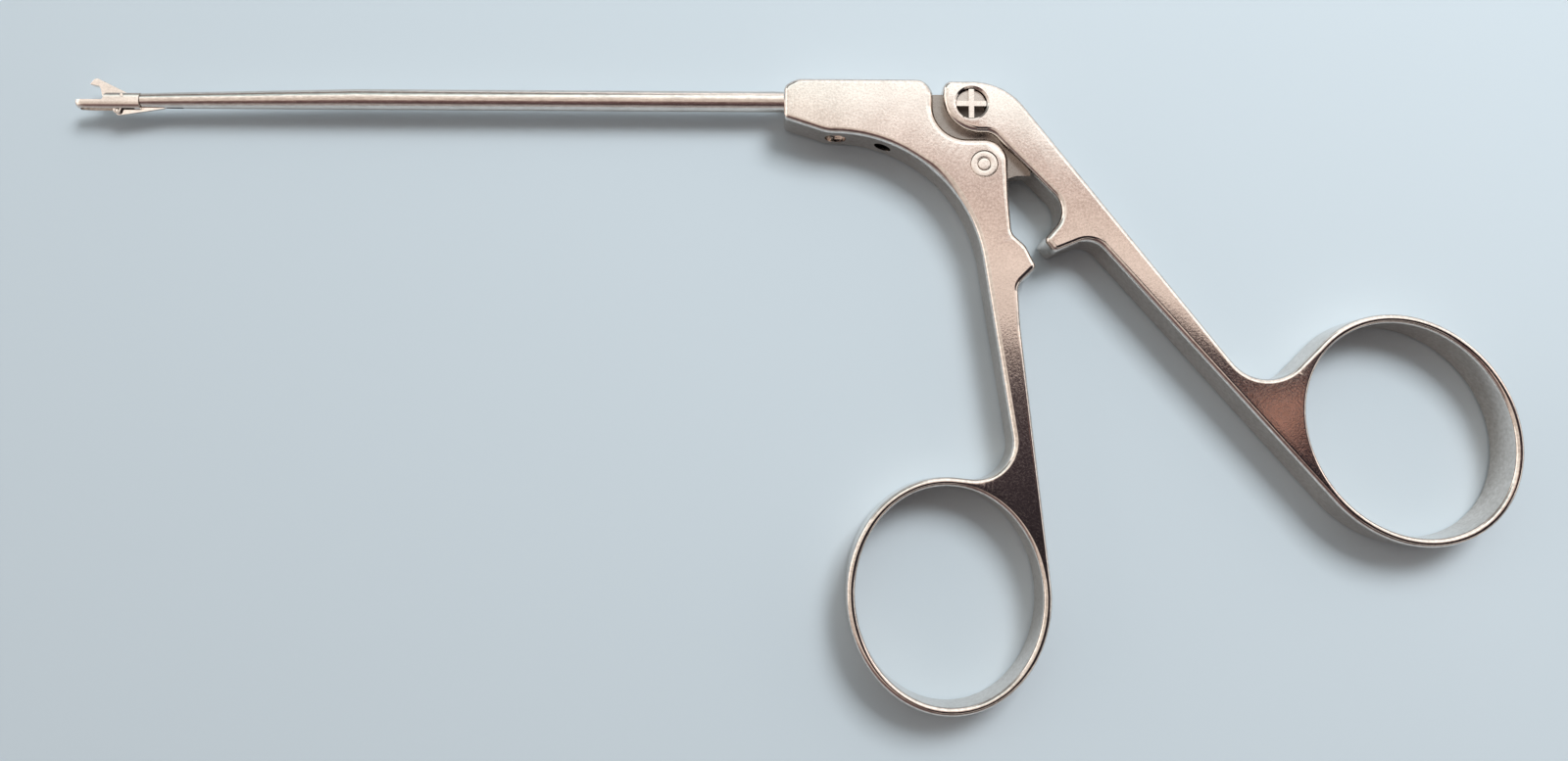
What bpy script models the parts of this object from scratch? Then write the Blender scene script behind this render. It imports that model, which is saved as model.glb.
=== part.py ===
"""Arthroscopic hook punch, lying on its side with its handles and its jaw open.

Sizes are in millimetres and angles in degrees until a mesh is made. X runs
along the shaft towards the thumb lever, Y runs from the finger ring up to the
shaft, and Z is the thickness of the handles, from the flat side at z = 0 that
the punch rests on. The origin is on that side, below the shaft's axis and in
line with the set screw that holds the shaft.
"""
import math

import bmesh
import bpy
from mathutils import Matrix, Vector

MM = 0.001

# Fits: a running fit for what moves, a seat for what is pressed, screwed or welded.
RUNNING_GAP = 0.15
SEAT_GAP = 0.05

# Smoothness of arcs, of rounded edges and of round pieces.
ARC_STEP = 12.0
OVAL_STEP = 7.0
EDGE_STEPS = 2
ROUND_SIDES = 32
SMALL_SIDES = 20

# Both handles: one thickness, one polished edge radius and one ring wall.
HANDLE_THICKNESS = 8.0
EDGE_RADIUS = 0.75
CORNER_MARGIN = 0.05
CORNER_RADIUS = EDGE_RADIUS + CORNER_MARGIN
RING_FLAT = 0.1
RING_WALL = 2 * EDGE_RADIUS + RING_FLAT
SHAFT_Z = HANDLE_THICKNESS / 2

# Trunnion that holds the drive rod's ball, and the main pivot below it.
TRUNNION = Vector((24.44, -1.35))
ROD_BALL_DIAMETER = 2.8
BALL_WALL = 1.3
TRUNNION_DIAMETER = ROD_BALL_DIAMETER + 2 * BALL_WALL
TRUNNION_RECESS = 0.35
TRUNNION_CROSS_WIDTH = 0.95
TRUNNION_CROSS_DEPTH = 1.1
PIVOT_SHIFT = 2.16
CRANK_LENGTH = 11.25
PIVOT = TRUNNION + Vector((PIVOT_SHIFT, -CRANK_LENGTH))
EAR_RADIUS = 4.45
EAR_RISE = 0.45
EAR_TOP = PIVOT.y + EAR_RADIUS + EAR_RISE
SLEEVE_DIAMETER = 4.9
SLEEVE_CHAMFER = 0.2
PIVOT_PIN_DIAMETER = 2.2
PIVOT_PIN_CHAMFER = 0.15

# Head of the lever around the trunnion, and the recess of the housing that it turns in.
HEAD_REACH = 5.09
HEAD_LEFT = TRUNNION.x - HEAD_REACH
HEAD_TOP = 2.9
HEAD_GAP_BELOW = 1.05
HEAD_BOTTOM = EAR_TOP + HEAD_GAP_BELOW
HEAD_CORNER = 1.6
HEAD_LOWER_RADIUS = 6.7
HEAD_UPPER_RADIUS = 12.0
HEAD_GAP_LEFT = 1.75
HEAD_RECESS_RADIUS = 6.05

# Housing at the front of the fixed handle, around the rear of the shaft.
HOUSING_FRONT = -9.5
HOUSING_TOP = 3.2
HOUSING_REAR = HEAD_LEFT - HEAD_GAP_LEFT
HOUSING_REAR_RADIUS = 3.2
HOUSING_CHAMFER = Vector((2.4, 1.3))
HOUSING_CHAMFER_RADIUS = 1.2
HOUSING_FRONT_BOTTOM = -4.25
HOUSING_BELLY = Vector((-1.6, -6.85))
HOUSING_BELLY_HEADING = -1.0
HOUSING_BELLY_RADIUS = 8.0

# Handle motion: the lug faces meet when the lever has turned this far.
HANDLE_RANGE = 11.0
STOP_GAP = 0.35
LEVER_STOP_ANGLE = -52.3
STOP_INNER_RADIUS = 17.3
STOP_DEPTH = 3.6
STOP_OUTER_RADIUS = STOP_INNER_RADIUS + STOP_DEPTH
STOP_LUG_LEAN = 0.9
LEVER_LUG_SETBACK = 0.6
STOP_FILLET = 2.5

# Arm and finger ring of the fixed handle.
ARM_LEFT_SHIFT = 0.1
ARM_LEFT_DROP = 20.0
ARM_LEFT_TOP = PIVOT + Vector((ARM_LEFT_SHIFT, -ARM_LEFT_DROP))
ARM_BEND_RADIUS = 27.0
ARM_NECK_START = 5.9
ARM_NECK_LENGTH = 12.5
ARM_NECK_FLARE = 0.4
ARM_NECK_TOP = PIVOT + Vector((EAR_RADIUS, -ARM_NECK_START))
ARM_NECK_BOTTOM = PIVOT + Vector((EAR_RADIUS + ARM_NECK_FLARE, -ARM_NECK_LENGTH))
ARM_NECK_RADIUS = 12.0
ARM_WAIST_REACH = 5.9
ARM_WAIST_DROP = 22.0
ARM_WAIST = PIVOT + Vector((ARM_WAIST_REACH, -ARM_WAIST_DROP))
ARM_SHOULDER_REACH = 6.26
ARM_SHOULDER_DROP = 29.25
ARM_SHOULDER = PIVOT + Vector((ARM_SHOULDER_REACH, -ARM_SHOULDER_DROP))
ARM_SHOULDER_RADIUS = 30.0
FINGER_RING_SHIFT = 6.85
FINGER_RING_DROP = 76.65
FINGER_RING_CENTRE = PIVOT + Vector((-FINGER_RING_SHIFT, -FINGER_RING_DROP))
FINGER_RING_BORE = (18.95, 16.3)
FINGER_RING_TILT = -87.3
FINGER_WEB_RADIUS = 6.7
FINGER_WEB_OFFSET = 3.50
FINGER_WEB_ANGLE = 50.3

# Arm and thumb ring of the moving lever.
LEVER_TOP_REACH = 10.3
LEVER_TOP_RISE = 7.2
LEVER_TOP_LINE = PIVOT + Vector((LEVER_TOP_REACH, LEVER_TOP_RISE))
LEVER_NECK_GAP = 0.8
LEVER_NECK_HEADING = -46.0
LEVER_NECK_RADIUS = 3.0
LEVER_THROAT_HEADING = -131.0
LEVER_THROAT_RADIUS = 4.3
LEVER_BUMP_HEADING = 22.0
LEVER_BUMP_LENGTH = 7.57
LEVER_BUMP_RADIUS = 4.0
THUMB_RING_REACH = 74.6
THUMB_RING_DROP = 47.35
THUMB_RING_CENTRE = PIVOT + Vector((THUMB_RING_REACH, -THUMB_RING_DROP))
THUMB_RING_BORE = (19.95, 17.2)
THUMB_RING_TILT = -52.5
THUMB_WEB_RADIUS = 7.8
THUMB_WEB_WIDTH = 2.92
THUMB_WEB_SETBACK = 20.95

# Tang of the lever and the slot of the fixed handle that it swings in.
TANG_THICKNESS = 3.2
TANG_REACH = 3.4
TANG_LEFT = HOUSING_REAR - TANG_REACH
TANG_TOP = 0.95
TANG_DEPTH = 3.85
TANG_BOTTOM = TRUNNION.y - TANG_DEPTH
TANG_CORNER = 3.0
TANG_TOE = 1.5
TANG_EYE_RADIUS = 4.0
TANG_EYE_END = 300.0
TANG_WEB_DROP = 2.4
TANG_WEB_BOTTOM = PIVOT.y - TANG_WEB_DROP
TANG_WEB_RADIUS = 2.5
SLOT_HEADROOM = 1.2
SLOT_EXIT_HEADING = -50.0

# Shaft tube, from its rear end in the housing to the weld at the jaw.
TUBE_DIAMETER = 3.7
TUBE_BORE = 2.1
TUBE_REAR = 3.0
TUBE_FRONT = -127.6
TAPER_LENGTH = 39.6
TAPER_START = TUBE_FRONT + TAPER_LENGTH
TIP_DIAMETER = 2.75
TIP_DROP = 0.5
SET_SCREW_DIAMETER = 3.8
SET_SCREW_INSET = 0.8
SET_SCREW_SOCKET = (1.9, 1.6)
DRAIN_X = 8.6
DRAIN_DIAMETER = 3.0

# Drive rod with its bend in the housing and its ball in the trunnion.
ROD_DIAMETER = 1.3
ROD_SETBACK = 5.4
ROD_FRONT = TUBE_FRONT + ROD_SETBACK
ROD_BEND_LEAD = 3.0
ROD_BEND_START = TUBE_REAR + ROD_BEND_LEAD
ROD_BEND_MARGIN = 1.6
ROD_BEND_END = TANG_LEFT - ROD_BEND_MARGIN
ROD_BEND_STEPS = 10
ROD_SIDE_CLEARANCE = 0.35
BALL_STEPS = 10
BALL_CLEARANCE = 0.3

# Cheeks and basket, welded to the front of the tube.
CHEEK_LENGTH = 6.2
CHEEK_TOP = 1.28
CHEEK_BOTTOM = -1.85
BASKET_LENGTH = 5.85
BASKET_TOP = 0.2
BASKET_TOP_CORNER = 0.3
BASKET_DROOP = 0.45
BASKET_DEPTH = 2.1
BASKET_NOSE_LEAN = 0.25
BASKET_NOSE_TOP_RADIUS = 0.8
BASKET_NOSE_RADIUS = 0.9
BASKET_NOSE_WALL = 0.85
JAW_BODY_WIDTH = 2.7
JAW_BODY_EDGE = 0.45
CHEEK_CORNER = JAW_BODY_EDGE + CORNER_MARGIN
SPIGOT_LENGTH = 1.9

# Hook jaw: points are measured from the basket's nose, or from the jaw's pin, and the shaft's axis.
JAW_WIDTH = 1.3
JAW_EDGE = 0.12
JAW_SIDE_GAP = 0.1
JAW_SLOT_SETBACK = 1.0
JAW_PIN_SETBACK = 3.2
JAW_PIN_HEIGHT = 0.65
JAW_PIN_DIAMETER = 0.6
JAW_BOSS_RADIUS = 0.68
JAW_RANGE = 44.0
HOOK_BACK = Vector((3.5, 4.25))
HOOK_TIP = Vector((2.48, 2.85))
HOOK_THROAT = Vector((4.45, 2.45))
HOOK_CUTTER = Vector((4.95, 0.42))
HOOK_HEEL = Vector((-1.75, -0.35))
HOOK_FILLET = 0.8
HOOK_TIP_RADIUS = 0.15

# Blade from the drive rod to the link pin in the hook's tail lugs.
BLADE_THICKNESS = 0.44
BLADE_SLOT_GAP = 0.06
BLADE_TANG_LENGTH = 1.9
BLADE_TANG_HALF = 0.35
BLADE_TANG_CORNER = 0.1
BLADE_SHOULDER = 2.8
BLADE_HEEL = Vector((1.3, 0.15))
BLADE_EYE_RADIUS = 0.78
LINK_PIN_DIAMETER = 0.5
LINK_LUG_RADIUS = 0.58
LINK_SIDE_CLEARANCE = 0.09
FORK_DEPTH = 0.95


def at(radius, angle):
    """Vector of a given length in a direction given in degrees."""
    return Vector((radius * math.cos(math.radians(angle)), radius * math.sin(math.radians(angle))))


def turned(point, centre, angle):
    """Point turned about a centre by an angle in degrees."""
    return centre + Matrix.Rotation(math.radians(angle), 2) @ (point - centre)


def heading(start, end):
    """Direction from one point to another in degrees."""
    return math.degrees(math.atan2(end.y - start.y, end.x - start.x))


def crossing(point_a, heading_a, point_b, heading_b):
    """Crossing of two lines, each given by a point and a heading."""
    along_a = at(1.0, heading_a)
    along_b = at(1.0, heading_b)
    between = point_b - point_a
    reach = (between.x * along_b.y - between.y * along_b.x) / (along_a.x * along_b.y - along_a.y * along_b.x)
    return point_a + along_a * reach


def rounded(corners):
    """Closed outline through (point, radius) corners, with fillets limited by the sides they share."""
    count = len(corners)
    turns = []
    reaches = []
    for index, (corner, radius) in enumerate(corners):
        before = corners[index - 1][0] - corner
        after = corners[(index + 1) % count][0] - corner
        turns.append(math.pi - before.angle(after))
        reaches.append(radius * math.tan(turns[-1] / 2))
    outline = []
    for index, (corner, radius) in enumerate(corners):
        if radius == 0.0 or turns[index] < 0.01:
            outline.append(corner.copy())
            continue
        following = (index + 1) % count
        before = corners[index - 1][0] - corner
        after = corners[following][0] - corner
        share_before = 0.99 * before.length / (reaches[index] + reaches[index - 1])
        share_after = 0.99 * after.length / (reaches[index] + reaches[following])
        reach = reaches[index] * min(1.0, share_before, share_after)
        radius = reach / math.tan(turns[index] / 2)
        start = corner + before.normalized() * reach
        end = corner + after.normalized() * reach
        centre = corner + (before.normalized() + after.normalized()).normalized() * math.hypot(reach, radius)
        steps = max(1, round(math.degrees(turns[index]) / ARC_STEP))
        first = math.atan2(start.y - centre.y, start.x - centre.x)
        sweep = math.atan2(end.y - centre.y, end.x - centre.x) - first
        sweep = (sweep + math.pi) % (2 * math.pi) - math.pi
        for step in range(steps + 1):
            outline.append(centre + at(radius, math.degrees(first + sweep * step / steps)))
    return outline


def oval_point(centre, semi_axes, tilt, normal):
    """Point of a tilted oval where its outward normal has the given angle."""
    along, across = semi_axes
    direction = at(1.0, normal - tilt)
    phase = math.atan2(across * direction.y, along * direction.x)
    upright = Vector((along * math.cos(phase), across * math.sin(phase)))
    return centre + Matrix.Rotation(math.radians(tilt), 2) @ upright


def tangent_normal(point, centre, semi_axes, tilt, side):
    """Normal of an oval's tangent through an outside point, counter-clockwise (1) or clockwise (-1) of it."""
    along, across = semi_axes
    upright = Matrix.Rotation(math.radians(-tilt), 2) @ (point - centre)
    squeezed = Vector((upright.x / along, upright.y / across))
    phase = math.atan2(squeezed.y, squeezed.x) + side * math.acos(1.0 / squeezed.length)
    return tilt + math.degrees(math.atan2(math.sin(phase) / across, math.cos(phase) / along))


def oval_arc(centre, semi_axes, tilt, first_normal, sweep):
    """Points of a tilted oval from one normal on, counter-clockwise through an angle."""
    steps = max(1, round(sweep / OVAL_STEP))
    return [
        oval_point(centre, semi_axes, tilt, first_normal + sweep * step / steps)
        for step in range(steps + 1)
    ]


def ring_between(before, after, centre, semi_axes, tilt):
    """Points of a tilted oval from the tangent of one outside point to the tangent of the next."""
    first = tangent_normal(before, centre, semi_axes, tilt, 1)
    last = tangent_normal(after, centre, semi_axes, tilt, -1)
    return oval_arc(centre, semi_axes, tilt, first, (last - first) % 360.0)


def circle(centre, radius, sides=ROUND_SIDES):
    """Counter-clockwise circle."""
    return [centre + at(radius, 360.0 * side / sides) for side in range(sides)]


def inset(loop, distance):
    """Counter-clockwise loop moved inwards by a distance."""
    moved = []
    count = len(loop)
    for index, point in enumerate(loop):
        back = (point - loop[index - 1]).normalized()
        ahead = (loop[(index + 1) % count] - point).normalized()
        normal = Vector((-back.y - ahead.y, back.x + ahead.x)).normalized()
        stretch = max(0.5, normal.dot(Vector((-back.y, back.x))))
        moved.append(point + normal * (distance / stretch))
    return moved


def tidy_loop(loop):
    """Loop without points that fall on each other."""
    return [point for index, point in enumerate(loop) if (point - loop[index - 1]).length > 0.02]


def plate_mesh(name, outline, low, high, edge=0.0, holes=()):
    """Flat plate with an outline, holes and rounded upper and lower edges."""
    mesh = bmesh.new()
    levels = [(edge, low), (edge, high)]
    if edge > 0.0:
        quarter = [90.0 * step / EDGE_STEPS for step in range(EDGE_STEPS + 1)]
        under = [(edge - edge * math.sin(math.radians(a)), low + edge - edge * math.cos(math.radians(a)))
                 for a in quarter]
        levels = under + [(shrink, low + high - height) for shrink, height in reversed(under)]
    rims = ([], [])
    for loop, sense in [(outline, 1.0)] + [(hole, -1.0) for hole in holes]:
        loop = tidy_loop(loop)
        rows = []
        for shrink, height in levels:
            ring = inset(loop, shrink * sense)
            rows.append([mesh.verts.new((point.x, point.y, height)) for point in ring])
        for lower, upper in zip(rows, rows[1:]):
            for index in range(len(loop)):
                following = (index + 1) % len(loop)
                mesh.faces.new((lower[index], lower[following], upper[following], upper[index]))
        rims[0].extend(mesh.edges.get((rows[0][i - 1], rows[0][i])) for i in range(len(loop)))
        rims[1].extend(mesh.edges.get((rows[-1][i - 1], rows[-1][i])) for i in range(len(loop)))
    for rim in rims:
        bmesh.ops.triangle_fill(mesh, edges=rim, use_beauty=True)
    return finished_mesh(mesh, name)


def lofted_mesh(name, rings, closed=False):
    """Solid through rings of points, closed on itself like a sleeve or capped at both ends."""
    mesh = bmesh.new()
    rows = [[mesh.verts.new(point) for point in ring] for ring in rings]
    pairs = list(zip(rows, rows[1:]))
    if closed:
        pairs.append((rows[-1], rows[0]))
    else:
        mesh.faces.new(rows[0])
        mesh.faces.new(list(reversed(rows[-1])))
    for ring, following in pairs:
        for index in range(len(ring)):
            after = (index + 1) % len(ring)
            mesh.faces.new((ring[index], following[index], following[after], ring[after]))
    return finished_mesh(mesh, name)


def ring_about_x(x, y, radius, sides):
    """Ring of points about a line along X."""
    spokes = [at(radius, 360.0 * side / sides) for side in range(sides)]
    return [Vector((x, y + spoke.x, SHAFT_Z + spoke.y)) for spoke in spokes]


def bar_mesh(name, start, end, radius, sides=SMALL_SIDES):
    """Round bar between two points."""
    mesh = bmesh.new()
    axis = end - start
    pose = Matrix.Translation((start + end) / 2) @ axis.to_track_quat("Z", "Y").to_matrix().to_4x4()
    bmesh.ops.create_cone(
        mesh, cap_ends=True, segments=sides, radius1=radius, radius2=radius, depth=axis.length, matrix=pose
    )
    return finished_mesh(mesh, name)


def box_mesh(name, low, high):
    """Box between two corners."""
    mesh = bmesh.new()
    low = Vector(low)
    high = Vector(high)
    pose = Matrix.Translation((low + high) / 2) @ Matrix.Diagonal((*(high - low), 1.0))
    bmesh.ops.create_cube(mesh, size=1.0, matrix=pose)
    return finished_mesh(mesh, name)


def finished_mesh(mesh, name):
    """Mesh data in millimetres with its faces pointing out."""
    bmesh.ops.recalc_face_normals(mesh, faces=mesh.faces)
    data = bpy.data.meshes.new(name)
    mesh.to_mesh(data)
    mesh.free()
    return data


def placed(name, data, material, origin=(0.0, 0.0, 0.0)):
    """Object in metres with its origin where its joint needs it."""
    origin = Vector(origin)
    data.transform(Matrix.Scale(MM, 4) @ Matrix.Translation(-origin))
    data.shade_smooth()
    data.set_sharp_from_angle(angle=math.radians(30.0))
    part = bpy.data.objects.new(name, data)
    part.location = origin * MM
    bpy.context.scene.collection.objects.link(part)
    if material is not None:
        data.materials.append(material)
    return part


def combine(target, name, data, operation):
    """Boolean modifier with a guide solid that is left out of the model."""
    guide = placed(name, data, None)
    guide.hide_render = True
    guide.display_type = "WIRE"
    modifier = target.modifiers.new(name, "BOOLEAN")
    modifier.operation = operation
    modifier.solver = "EXACT"
    modifier.object = guide


def cut(target, name, data):
    combine(target, name, data, "DIFFERENCE")


def add(target, name, data):
    combine(target, name, data, "UNION")


def keep(target, name, data):
    combine(target, name, data, "INTERSECT")


def steel(name, colour, roughness):
    """Stainless steel finish."""
    material = bpy.data.materials.new(name)
    material.use_nodes = True
    shader = material.node_tree.nodes["Principled BSDF"]
    shader.inputs["Base Color"].default_value = (*colour, 1.0)
    shader.inputs["Metallic"].default_value = 1.0
    shader.inputs["Roughness"].default_value = roughness
    return material


def axis_drop(x):
    """Height of the shaft's axis, which falls a little along the taper."""
    share = (TAPER_START - x) / (TAPER_START - TUBE_FRONT)
    return -TIP_DROP * min(1.0, max(0.0, share))


def grown(semi_axes, wall):
    """Oval semi-axes made larger by a wall."""
    return tuple(axis + wall for axis in semi_axes)


def fixed_handle_outline():
    """Outline of the housing, the arm, the stop lug and the finger ring."""
    ring = grown(FINGER_RING_BORE, RING_WALL)
    web = oval_point(
        FINGER_RING_CENTRE, grown(ring, FINGER_WEB_OFFSET), FINGER_RING_TILT, FINGER_WEB_ANGLE
    )
    bend = crossing(HOUSING_BELLY, HOUSING_BELLY_HEADING, web, heading(web, ARM_LEFT_TOP))
    lower_corners = [
        (Vector((HOUSING_FRONT, HOUSING_FRONT_BOTTOM)), CORNER_RADIUS),
        (HOUSING_BELLY, HOUSING_BELLY_RADIUS),
        (bend, ARM_BEND_RADIUS),
        (web, FINGER_WEB_RADIUS),
    ]
    ring_points = ring_between(web, ARM_SHOULDER, FINGER_RING_CENTRE, ring, FINGER_RING_TILT)
    stop = LEVER_STOP_ANGLE - HANDLE_RANGE - STOP_GAP
    upper_corners = [
        (ARM_SHOULDER, ARM_SHOULDER_RADIUS),
        (ARM_WAIST, STOP_FILLET),
        (PIVOT + at(STOP_OUTER_RADIUS, stop), CORNER_RADIUS),
        (PIVOT + at(STOP_INNER_RADIUS - STOP_LUG_LEAN, stop), STOP_FILLET),
        (ARM_NECK_BOTTOM, STOP_FILLET),
        (ARM_NECK_TOP, ARM_NECK_RADIUS),
        (Vector((PIVOT.x + EAR_RADIUS, EAR_TOP)), EAR_RADIUS),
        (Vector((HOUSING_REAR, EAR_TOP)), HEAD_RECESS_RADIUS),
        (Vector((HOUSING_REAR, HOUSING_TOP)), HOUSING_REAR_RADIUS),
        (Vector((HOUSING_FRONT + HOUSING_CHAMFER.x, HOUSING_TOP)), HOUSING_CHAMFER_RADIUS),
        (Vector((HOUSING_FRONT, HOUSING_TOP - HOUSING_CHAMFER.y)), CORNER_RADIUS),
    ]
    return rounded(lower_corners + [(point, 0.0) for point in ring_points] + upper_corners)


def lever_neck():
    """Point of the lever's lower side that is nearest to the pivot."""
    return PIVOT + at(EAR_RADIUS + LEVER_NECK_GAP, LEVER_NECK_HEADING + 90.0)


def lever_outline():
    """Outline of the lever's head, arm, stop lug and thumb ring."""
    ring = grown(THUMB_RING_BORE, RING_WALL)
    throat_end = PIVOT + at(STOP_INNER_RADIUS, LEVER_STOP_ANGLE)
    lug_end = PIVOT + at(STOP_OUTER_RADIUS - LEVER_LUG_SETBACK, LEVER_STOP_ANGLE)
    neck = lever_neck()
    neck_start = crossing(Vector((HEAD_LEFT, HEAD_BOTTOM)), 0.0, neck, LEVER_NECK_HEADING)
    throat = crossing(neck, LEVER_NECK_HEADING, throat_end, LEVER_THROAT_HEADING)
    bump = lug_end + at(LEVER_BUMP_LENGTH, LEVER_BUMP_HEADING)
    inner = tangent_normal(bump, THUMB_RING_CENTRE, ring, THUMB_RING_TILT, 1)
    joint = oval_point(THUMB_RING_CENTRE, ring, THUMB_RING_TILT, inner)
    web = joint + at(THUMB_WEB_SETBACK, inner - 90.0) - at(THUMB_WEB_WIDTH, inner)
    ring_points = ring_between(bump, web, THUMB_RING_CENTRE, ring, THUMB_RING_TILT)
    corners = [
        (Vector((HEAD_LEFT, HEAD_TOP)), HEAD_CORNER),
        (Vector((HEAD_LEFT, HEAD_BOTTOM)), HEAD_LOWER_RADIUS),
        (neck_start, LEVER_NECK_RADIUS),
        (throat, LEVER_THROAT_RADIUS),
        (throat_end, CORNER_RADIUS),
        (lug_end, CORNER_RADIUS),
        (bump, LEVER_BUMP_RADIUS),
    ]
    top_corner = crossing(web, heading(web, LEVER_TOP_LINE), Vector((HEAD_LEFT, HEAD_TOP)), 0.0)
    return rounded(
        corners
        + [(point, 0.0) for point in ring_points]
        + [(web, THUMB_WEB_RADIUS), (top_corner, HEAD_UPPER_RADIUS)]
    )


def tang_outline(margin=0.0, swing=0.0):
    """Outline of the lever's tang, from its end in the housing to its eye and its web."""
    eye = TANG_EYE_RADIUS + margin
    top_left = Vector((TANG_LEFT - margin, TANG_TOP + margin))
    bottom_left = Vector((TANG_LEFT - margin, TANG_BOTTOM - margin))
    tangent = (bottom_left - PIVOT).length
    lean = math.degrees(math.atan2(bottom_left.y - PIVOT.y, bottom_left.x - PIVOT.x))
    first = lean + math.degrees(math.acos(eye / tangent))
    sweep = TANG_EYE_END - swing - first
    steps = round(sweep / ARC_STEP)
    eye_arc = [PIVOT + at(eye, first + sweep * step / steps) for step in range(steps + 1)]
    return eye_arc, top_left, bottom_left


def tang_mesh():
    """Tang that joins the lever's head and arm to its eye on the pivot."""
    eye_arc, top_left, bottom_left = tang_outline()
    web_left = Vector((PIVOT.x + EAR_RADIUS, TANG_WEB_BOTTOM - 0.25 * TANG_WEB_RADIUS))
    web_peak = Vector((PIVOT.x + EAR_RADIUS + 0.7 * TANG_WEB_RADIUS, TANG_WEB_BOTTOM))
    web_right = Vector((LEVER_TOP_LINE.x + HEAD_CORNER, TANG_WEB_BOTTOM))
    inside_arm = LEVER_TOP_LINE - Vector((0.0, HANDLE_THICKNESS / 2))
    inside_head = Vector((TRUNNION.x + TRUNNION_DIAMETER, TANG_TOP))
    corners = [(point, 0.0) for point in eye_arc] + [
        (web_left, 0.0),
        (web_peak, TANG_WEB_RADIUS),
        (web_right, 0.0),
        (inside_arm, 0.0),
        (inside_head, 0.0),
        (top_left, TANG_CORNER),
        (bottom_left, TANG_TOE),
    ]
    half = TANG_THICKNESS / 2
    return plate_mesh("tang", rounded(corners), SHAFT_Z - half, SHAFT_Z + half)


def slot_mesh():
    """Slot of the fixed handle that the tang swings in."""
    eye_arc, top_left, bottom_left = tang_outline(2 * RUNNING_GAP, HANDLE_RANGE)
    ear_exit = PIVOT + at(2 * EAR_RADIUS, SLOT_EXIT_HEADING)
    beyond = PIVOT.x + 2 * EAR_RADIUS
    corners = [(point, 0.0) for point in eye_arc] + [
        (ear_exit, 0.0),
        (Vector((beyond, ear_exit.y)), 0.0),
        (Vector((beyond, TANG_TOP + SLOT_HEADROOM)), 0.0),
        (Vector((top_left.x, TANG_TOP + SLOT_HEADROOM)), TANG_TOE),
        (bottom_left, TANG_TOE),
    ]
    half = TANG_THICKNESS / 2 + RUNNING_GAP
    return plate_mesh("tang_slot", rounded(corners), SHAFT_Z - half, SHAFT_Z + half)


def travel():
    """Stroke of the drive rod for the full turn of the lever."""
    return turned(TRUNNION, PIVOT, -HANDLE_RANGE).x - TRUNNION.x


def rod_level():
    """Height of the drive rod in the trunnion, halfway between open and closed."""
    return (TRUNNION.y + turned(TRUNNION, PIVOT, -HANDLE_RANGE).y) / 2


def basket_nose():
    """Front end of the basket along the shaft."""
    return TUBE_FRONT - SEAT_GAP - CHEEK_LENGTH - BASKET_LENGTH


def jaw_pin_place():
    """Centre of the jaw's pin."""
    return Vector((TUBE_FRONT - JAW_PIN_SETBACK, JAW_PIN_HEIGHT - TIP_DROP))


def crank_radius():
    """Distance from the jaw's pin to the link pin with the jaw open or closed."""
    return travel() / (2 * math.sin(math.radians(JAW_RANGE / 2)))


def link_pin_place():
    """Centre of the link pin with the jaw open."""
    return jaw_pin_place() + at(crank_radius(), -90.0 - JAW_RANGE / 2)


def make_fixed_handle(finish):
    """Housing, arm and finger ring in one forging, with its bores and its slot."""
    ring_hole = oval_arc(FINGER_RING_CENTRE, FINGER_RING_BORE, FINGER_RING_TILT, 0.0, 360.0 - OVAL_STEP)
    data = plate_mesh(
        "fixed_handle", fixed_handle_outline(), 0.0, HANDLE_THICKNESS, EDGE_RADIUS, holes=[ring_hole]
    )
    handle = placed("fixed_handle", data, finish)
    cut(handle, "tang_slot", slot_mesh())
    bore = TUBE_DIAMETER / 2 + SEAT_GAP
    cut(handle, "tube_bore", bar_mesh(
        "tube_bore",
        Vector((HOUSING_FRONT - 1.0, 0.0, SHAFT_Z)),
        Vector((TUBE_REAR + SEAT_GAP, 0.0, SHAFT_Z)),
        bore,
        ROUND_SIDES,
    ))
    reach = ROD_DIAMETER / 2 + ROD_SIDE_CLEARANCE
    cut(handle, "rod_chamber", box_mesh(
        "rod_chamber",
        (TUBE_REAR - ROD_DIAMETER / 2, rod_level() - reach, SHAFT_Z - reach),
        (TANG_LEFT + ROD_DIAMETER, reach, SHAFT_Z + reach),
    ))
    below = HOUSING_BELLY.y - 2.0
    screw_hole = SET_SCREW_DIAMETER / 2 + SEAT_GAP
    cut(handle, "set_screw_hole", bar_mesh(
        "set_screw_hole",
        Vector((0.0, below, SHAFT_Z)),
        Vector((0.0, -bore / 2, SHAFT_Z)),
        screw_hole,
        ROUND_SIDES,
    ))
    cut(handle, "drain_hole", bar_mesh(
        "drain_hole",
        Vector((DRAIN_X, below - 1.0, SHAFT_Z)),
        Vector((DRAIN_X, 0.0, SHAFT_Z)),
        DRAIN_DIAMETER / 2,
    ))
    cut(handle, "pivot_bore", bar_mesh(
        "pivot_bore",
        Vector((*PIVOT, -1.0)),
        Vector((*PIVOT, HANDLE_THICKNESS + 1.0)),
        SLEEVE_DIAMETER / 2 + SEAT_GAP,
        ROUND_SIDES,
    ))
    return handle


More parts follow.
